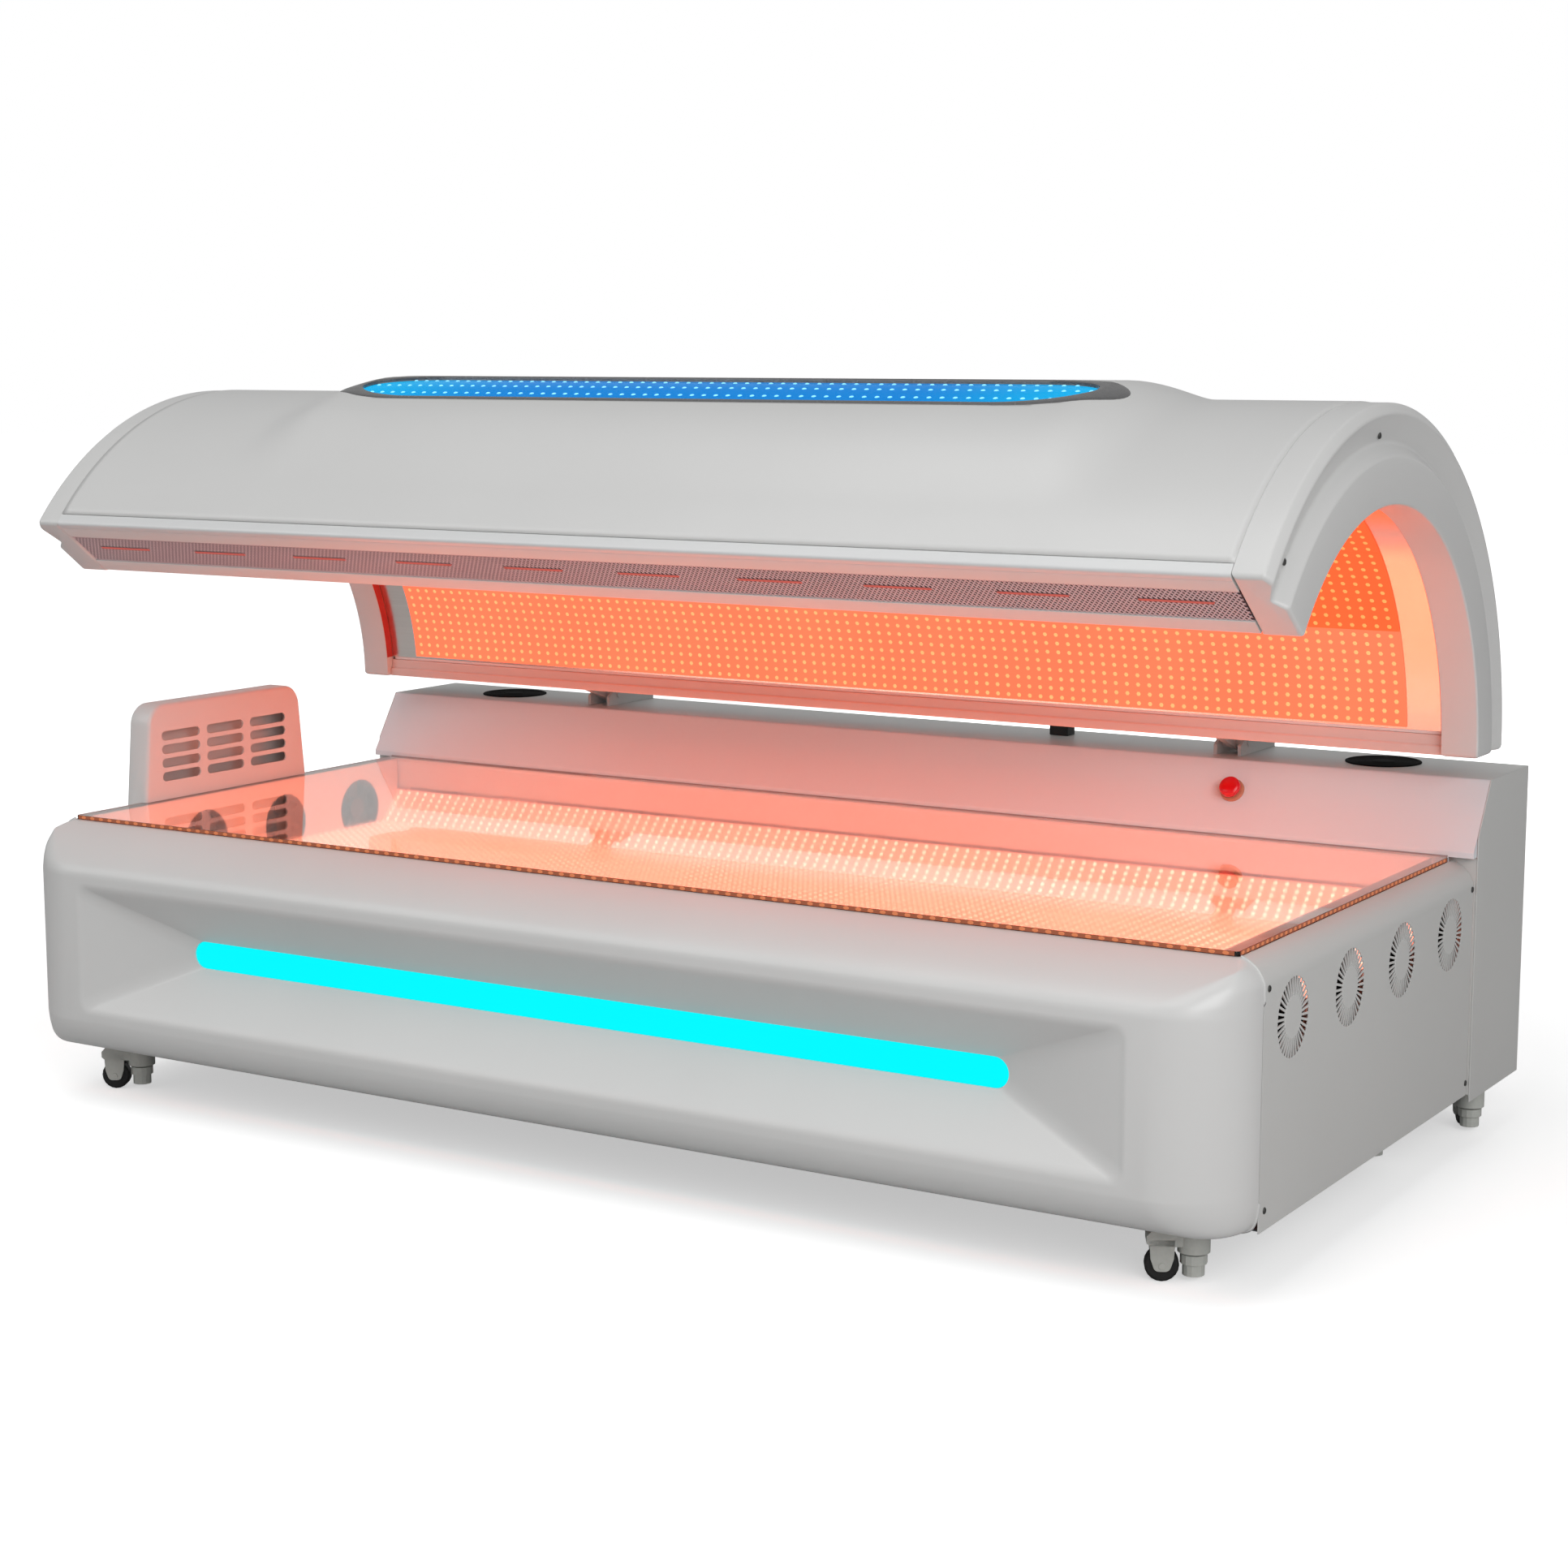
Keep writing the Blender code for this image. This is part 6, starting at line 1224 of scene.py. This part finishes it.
def make_console():
    """Folded sheet from the acrylic's rear edge up the slope, and the deck behind it with its openings."""
    line = rounded_outline(CONSOLE_LINE, CONSOLE_FOLDS, 6, closed=False)
    fold = next(i for i, point in enumerate(line) if point[1] > DECK_Z - 0.00001)
    low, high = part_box("rear_console")
    foot = CONSOLE_FOOT_HALF_LENGTH
    # The slope and its ends take the brighter copy of the deck's coat: painted light
    slope = piece("console", along_x(bent_sheet(line[:fold + 1], PANEL_WALL), -foot, foot), painted_light_console_white,
                  "root", ["rear_console"])
    hole = turned([(BUTTON_HOLE_RADIUS, -0.01), (BUTTON_HOLE_RADIUS, 0.01)], 32)
    carve(slope, placed(hole, facing(BUTTON_PLACE, BUTTON_OUT, BUTTON_UP)))
    deck = piece("console_deck", along_x(bent_sheet(line[fold:], PANEL_WALL), low.x, high.x), white_panel,
                 "root")
    under, over = DECK_Z - 0.01, DECK_Z + 0.01
    openings = [block((side * DECK_SLOT_X - DECK_SLOT_HALF_WIDTH, DECK_SLOT_YS[0], under),
                      (side * DECK_SLOT_X + DECK_SLOT_HALF_WIDTH, DECK_SLOT_YS[1], over)) for side in (-1, 1)]
    hole = turned([(SPEAKER_RADIUS - 0.004, under), (SPEAKER_RADIUS - 0.004, over)], 48)
    openings += [placed(hole, Matrix.Translation((side * SPEAKER_X, SPEAKER_Y, 0))) for side in (-1, 1)]
    carve(deck, joined(openings))
    # The end panels' shoulders pass under the two ends of the slope
    upper = [point for point in line[:fold + 1] if point[1] > CONSOLE_LINE[2][1] + 0.01]
    sheet = bent_sheet([(CONSOLE_LINE[3][0], BED_TOP_Z)] + upper, PANEL_WALL)
    ends = [along_x(sheet, low.x, -foot), along_x(sheet, foot, high.x)]
    ends += [along_x(CONSOLE_FLANGE, low.x, low.x + PANEL_WALL),
             along_x(CONSOLE_FLANGE, high.x - PANEL_WALL, high.x)]
    piece("console_ends", joined(ends), painted_light_console_white, "root", weld=False)
    for item in (slope, deck):
        smooth(item.data, SHARP_DEG)


def make_speakers():
    """Black deck discs: a rounded rim, a recessed cone and a small dome, under fine rings."""
    top = DECK_Z + PLAY
    profile = [(0.050, top - 0.020), (SPEAKER_RADIUS, top), (SPEAKER_RADIUS, top + 0.0014),
               (SPEAKER_RADIUS - 0.0010, top + 0.0020), (SPEAKER_RADIUS - 0.0050, top + 0.0020),
               (SPEAKER_RADIUS - 0.0060, top + 0.0008)]
    for i in range(8):
        r = SPEAKER_RADIUS - 0.0065 - 0.0045 * i
        profile += [(r, top + 0.0012), (r - 0.0022, top + 0.0012), (r - 0.0028, top + 0.0004)]
    profile += [(0.0190, top + 0.0014), (0.0140, top + 0.0019), (0.0070, top + 0.0021),
                (0.0010, top + 0.0021)]
    disc = turned(profile, 64)
    for end, side in ENDS:
        piece(end + "_deck_disc", placed(disc, Matrix.Translation((side * SPEAKER_X, SPEAKER_Y, 0))),
              black_cloth, "root", ["deck_speaker_" + end])


def make_stop_button():
    place = facing(BUTTON_PLACE, BUTTON_OUT, BUTTON_UP)
    radius, height = COLLAR_RADIUS, COLLAR_HEIGHT
    collar = turned([(0.011, -0.010), (0.011, PLAY), (radius, PLAY), (radius, height - 0.0024),
                     (radius - 0.0008, height - 0.0008), (radius - 0.0024, height),
                     (0.0090, height), (0.0080, height - 0.0052)], 48)
    piece("stop_button_collar", placed(collar, place), amber_collar, "root", ["button_collar"])
    foot, radius = BUTTON_FOOT, BUTTON_RADIUS
    profile = [(0.006, foot - 0.0050), (0.006, foot), (radius - 0.0012, foot), (radius, foot + 0.0012),
               (radius, foot + BUTTON_RIM)]
    for k in range(1, 9):
        a = math.radians(90 * k / 8)
        profile.append((max(radius * math.cos(a), 0.0004),
                        foot + BUTTON_RIM + (BUTTON_HEIGHT - BUTTON_RIM) * math.sin(a)))
    knob = turned(profile, 48)
    piece("stop_button_knob", placed(knob, place), red_knob, "red_button", ["red_button"])


def make_cabinet_trim():
    """Bead of sealant along the acrylic's rear edge, and the folded returns that close the cabinet's ends."""
    low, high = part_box("bed_acrylic")
    rear, top = ACRYLIC_REAR_Y, BED_TOP_Z
    bead = [(rear - 0.0022, top + 0.0001), (rear - 0.0016, top + 0.0014), (rear - 0.0002, top + 0.0021),
            (rear + 0.0003, top + 0.0021), (rear + 0.0003, top + 0.0001)]
    piece("acrylic_rear_bead", along_x(bead, low.x + 0.002, high.x - 0.002), pink_lit_grey_sealant, "root")
    returns = []
    front, back = COVER_FRONT_Y + 0.0002, COVER_FRONT_Y + 0.0017
    for side in (-1, 1):
        near, far = sorted(side * x for x in CABINET_RETURN_XS)
        returns.append(block((near, front, SKIRT_Z), (far, back, SHOULDER_TOP_Z)))
        returns.append(block((near, back, SKIRT_Z), (near + 0.0015, COVER_FRONT_Y + 0.0120, SHOULDER_TOP_Z)))
    piece("cabinet_end_returns", joined(returns), white_panel, "root", weld=False)


# Levelling casters

def caster_names():
    return ["caster_%s_%s" % (row, end) for end, _ in ENDS for row in CASTER_ROWS]


def make_casters():
    """Swivel plate, a column with the screw-down pad in it, and two slim arms that hold the wheel."""
    web = rounded_outline(CASTER_WEB, CASTER_WEB_ROUNDS, 5)
    arm = rounded_outline(CASTER_ARM, CASTER_ARM_ROUNDS, 5)
    inner, outer = CASTER_ARM_INNER_Y, CASTER_HALF_WIDTH
    axle = placed(turned([(AXLE_RADIUS, -AXLE_HALF_LENGTH), (AXLE_RADIUS, AXLE_HALF_LENGTH)], 20),
                  Matrix.Rotation(math.radians(90), 4, 'X'))
    fixed = [turned(CASTER_PLATE, 36), turned(CASTER_COLUMN, 36), along_y(web, -outer, outer),
             along_y(arm, -outer, -inner), along_y(arm, inner, outer)]
    for caster in caster_names():
        low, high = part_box(caster + "_pad")
        stem = (low + high) / 2
        low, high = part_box(caster + "_wheel")
        hub = (low + high) / 2
        trail = Vector((hub.x - stem.x, hub.y - stem.y, 0))
        ahead = trail.normalized()
        turn = Matrix((ahead, UP.cross(ahead), UP)).transposed().to_4x4()
        shape = joined(fixed + [placed(axle, Matrix.Translation((trail.length, 0, hub.z)))])
        # The forks' pale grey is partly painted light
        fork = piece(caster + "_fork", placed(shape, Matrix.Translation((stem.x, stem.y, 0)) @ turn),
                     lightened_grey_nylon, caster, [caster + "_housing"], weld=False)
        soften(fork, FINE_EDGE, 2)


# Kept frame nodes

def dress_frame():
    dress("rear_cabinet_wrap", white_panel, 0.0006)
    dress("base_frame", dark_frame, 0.0006)
    dress("power_supply", dark_frame, 0.0020)
    dress("light_tray", tray_white, 0.0006)
    dress("bed_acrylic", bed_acrylic, 0.0010)
    dress("fan_frames", black_nylon, 0.0006)
    dress("limit_switch", black_nylon, 0.0015)
    dress("mains_inlet", black_nylon, 0.0006)
    for i in range(4):
        dress("fan_rotor_%d" % (i + 1), black_nylon, 0.0004)
    for end, _ in ENDS:
        dress("hinge_arm_" + end, white_panel, 0.0008)
        dress("hinge_bracket_" + end, white_panel, 0.0008)
        dress("actuator_tube_" + end, dark_frame, 0.0010)
        dress("actuator_rod_" + end, hinge_steel, 0.0008)
    for caster in caster_names():
        dress(caster + "_wheel", black_tyre, 0.0012)
        dress(caster + "_pad", lightened_grey_nylon, 0.0010)


make_front_moulding()
make_light_bar()
make_end_panels()
make_upper_boards()
make_lower_boards()
make_acrylic_rim()
make_head_vent()
make_canopy_shell()
make_crown_window()
make_end_caps()
make_canopy_rails()
make_lining()
make_vent_strip()
make_console()
make_speakers()
make_stop_button()
make_cabinet_trim()
make_casters()
dress_frame()


# Floor, light and camera

def shown_rays(tree):
    """The paths of light, and a mask of those that show the background: to the camera and through glass."""
    path = add_node(tree, "ShaderNodeLightPath")
    seen = add_node(tree, "ShaderNodeMath", {"operation": 'MAXIMUM'},
                    {0: path.outputs["Is Camera Ray"], 1: path.outputs["Is Transmission Ray"]})
    return path, seen.outputs["Value"]


def make_floor():
    """Pale studio floor: white where the light falls freely, with the bed's soft shadow on it."""
    mesh = bpy.data.meshes.new("studio_floor")
    reach = FLOOR_REACH
    corners = [(-reach, -reach, 0), (reach, -reach, 0), (reach, reach, 0), (-reach, reach, 0)]
    mesh.from_pydata(corners, [], [(0, 1, 2, 3)])
    floor = stand("studio_floor", mesh)
    material, tree, shader, places = start_material(
        "pale_floor_paint", {"Roughness": 0.9, "Specular IOR Level": 0.1, "Emission Color": linear("FFFFFF")})
    _, seen = shown_rays(tree)
    away = add_node(tree, "ShaderNodeVectorMath", {"operation": 'LENGTH'}, {0: places})
    lift = add_node(tree, "ShaderNodeMapRange", FLOOR_LIFT, {"Value": away.outputs["Value"]})
    level = add_node(tree, "ShaderNodeMath", {"operation": 'MULTIPLY'}, {0: seen, 1: lift.outputs["Result"]})
    tree.links.new(level.outputs["Value"], shader.inputs["Emission Strength"])
    # Paler to the eye than as a bounce light, so that the underside of the bed stays in shade
    tone = add_node(tree, "ShaderNodeMapRange", {"To Min": FLOOR_BOUNCE, "To Max": FLOOR_TONE},
                    {"Value": seen})
    tree.links.new(tone.outputs["Result"], shader.inputs["Base Color"])
    mesh.materials.append(material)


def make_world():
    """Even studio surround: white to the camera and through glass, pale in reflections, dimmer as a light."""
    world = bpy.data.worlds.new("studio_surround")
    bpy.context.scene.world = world
    world.use_nodes = True
    tree = world.node_tree
    surround = tree.nodes["Background"]
    surround.inputs["Color"].default_value = linear("FFFFFF")
    path, seen = shown_rays(tree)
    around = add_node(tree, "ShaderNodeMapRange", {"To Min": SURROUND_LIGHT, "To Max": SURROUND_MIRRORED},
                      {"Value": path.outputs["Is Glossy Ray"]})
    level = add_node(tree, "ShaderNodeMath", {"operation": 'MAXIMUM'}, {0: around.outputs["Result"], 1: seen})
    tree.links.new(level.outputs["Value"], surround.inputs["Strength"])


def point_along(item, place, direction):
    item.location = place
    item.rotation_mode = 'QUATERNION'
    item.rotation_quaternion = direction.to_track_quat('-Z', 'Y')


def add_softbox(name, place, target, size, power):
    lamp = bpy.data.lights.new(name, 'AREA')
    lamp.shape = 'RECTANGLE'
    lamp.size, lamp.size_y = size
    lamp.energy = power
    point_along(stand(name, lamp), place, Vector(target) - Vector(place))


def make_camera():
    azimuth, elevation = math.radians(CAMERA_AZIMUTH_DEG), math.radians(CAMERA_ELEVATION_DEG)
    level = math.cos(elevation)
    back = Vector((math.sin(azimuth) * level, -math.cos(azimuth) * level, math.sin(elevation)))
    lens = bpy.data.cameras.new("photo_camera")
    lens.lens = CAMERA_LENS_MM
    lens.sensor_width = CAMERA_SENSOR_MM
    camera = stand("photo_camera", lens)
    point_along(camera, CAMERA_PLACE, -back)
    bpy.context.scene.camera = camera


make_floor()
make_world()
for softbox in SOFTBOXES:
    add_softbox(*softbox)
make_camera()
bpy.context.scene.view_settings.view_transform = 'Standard'
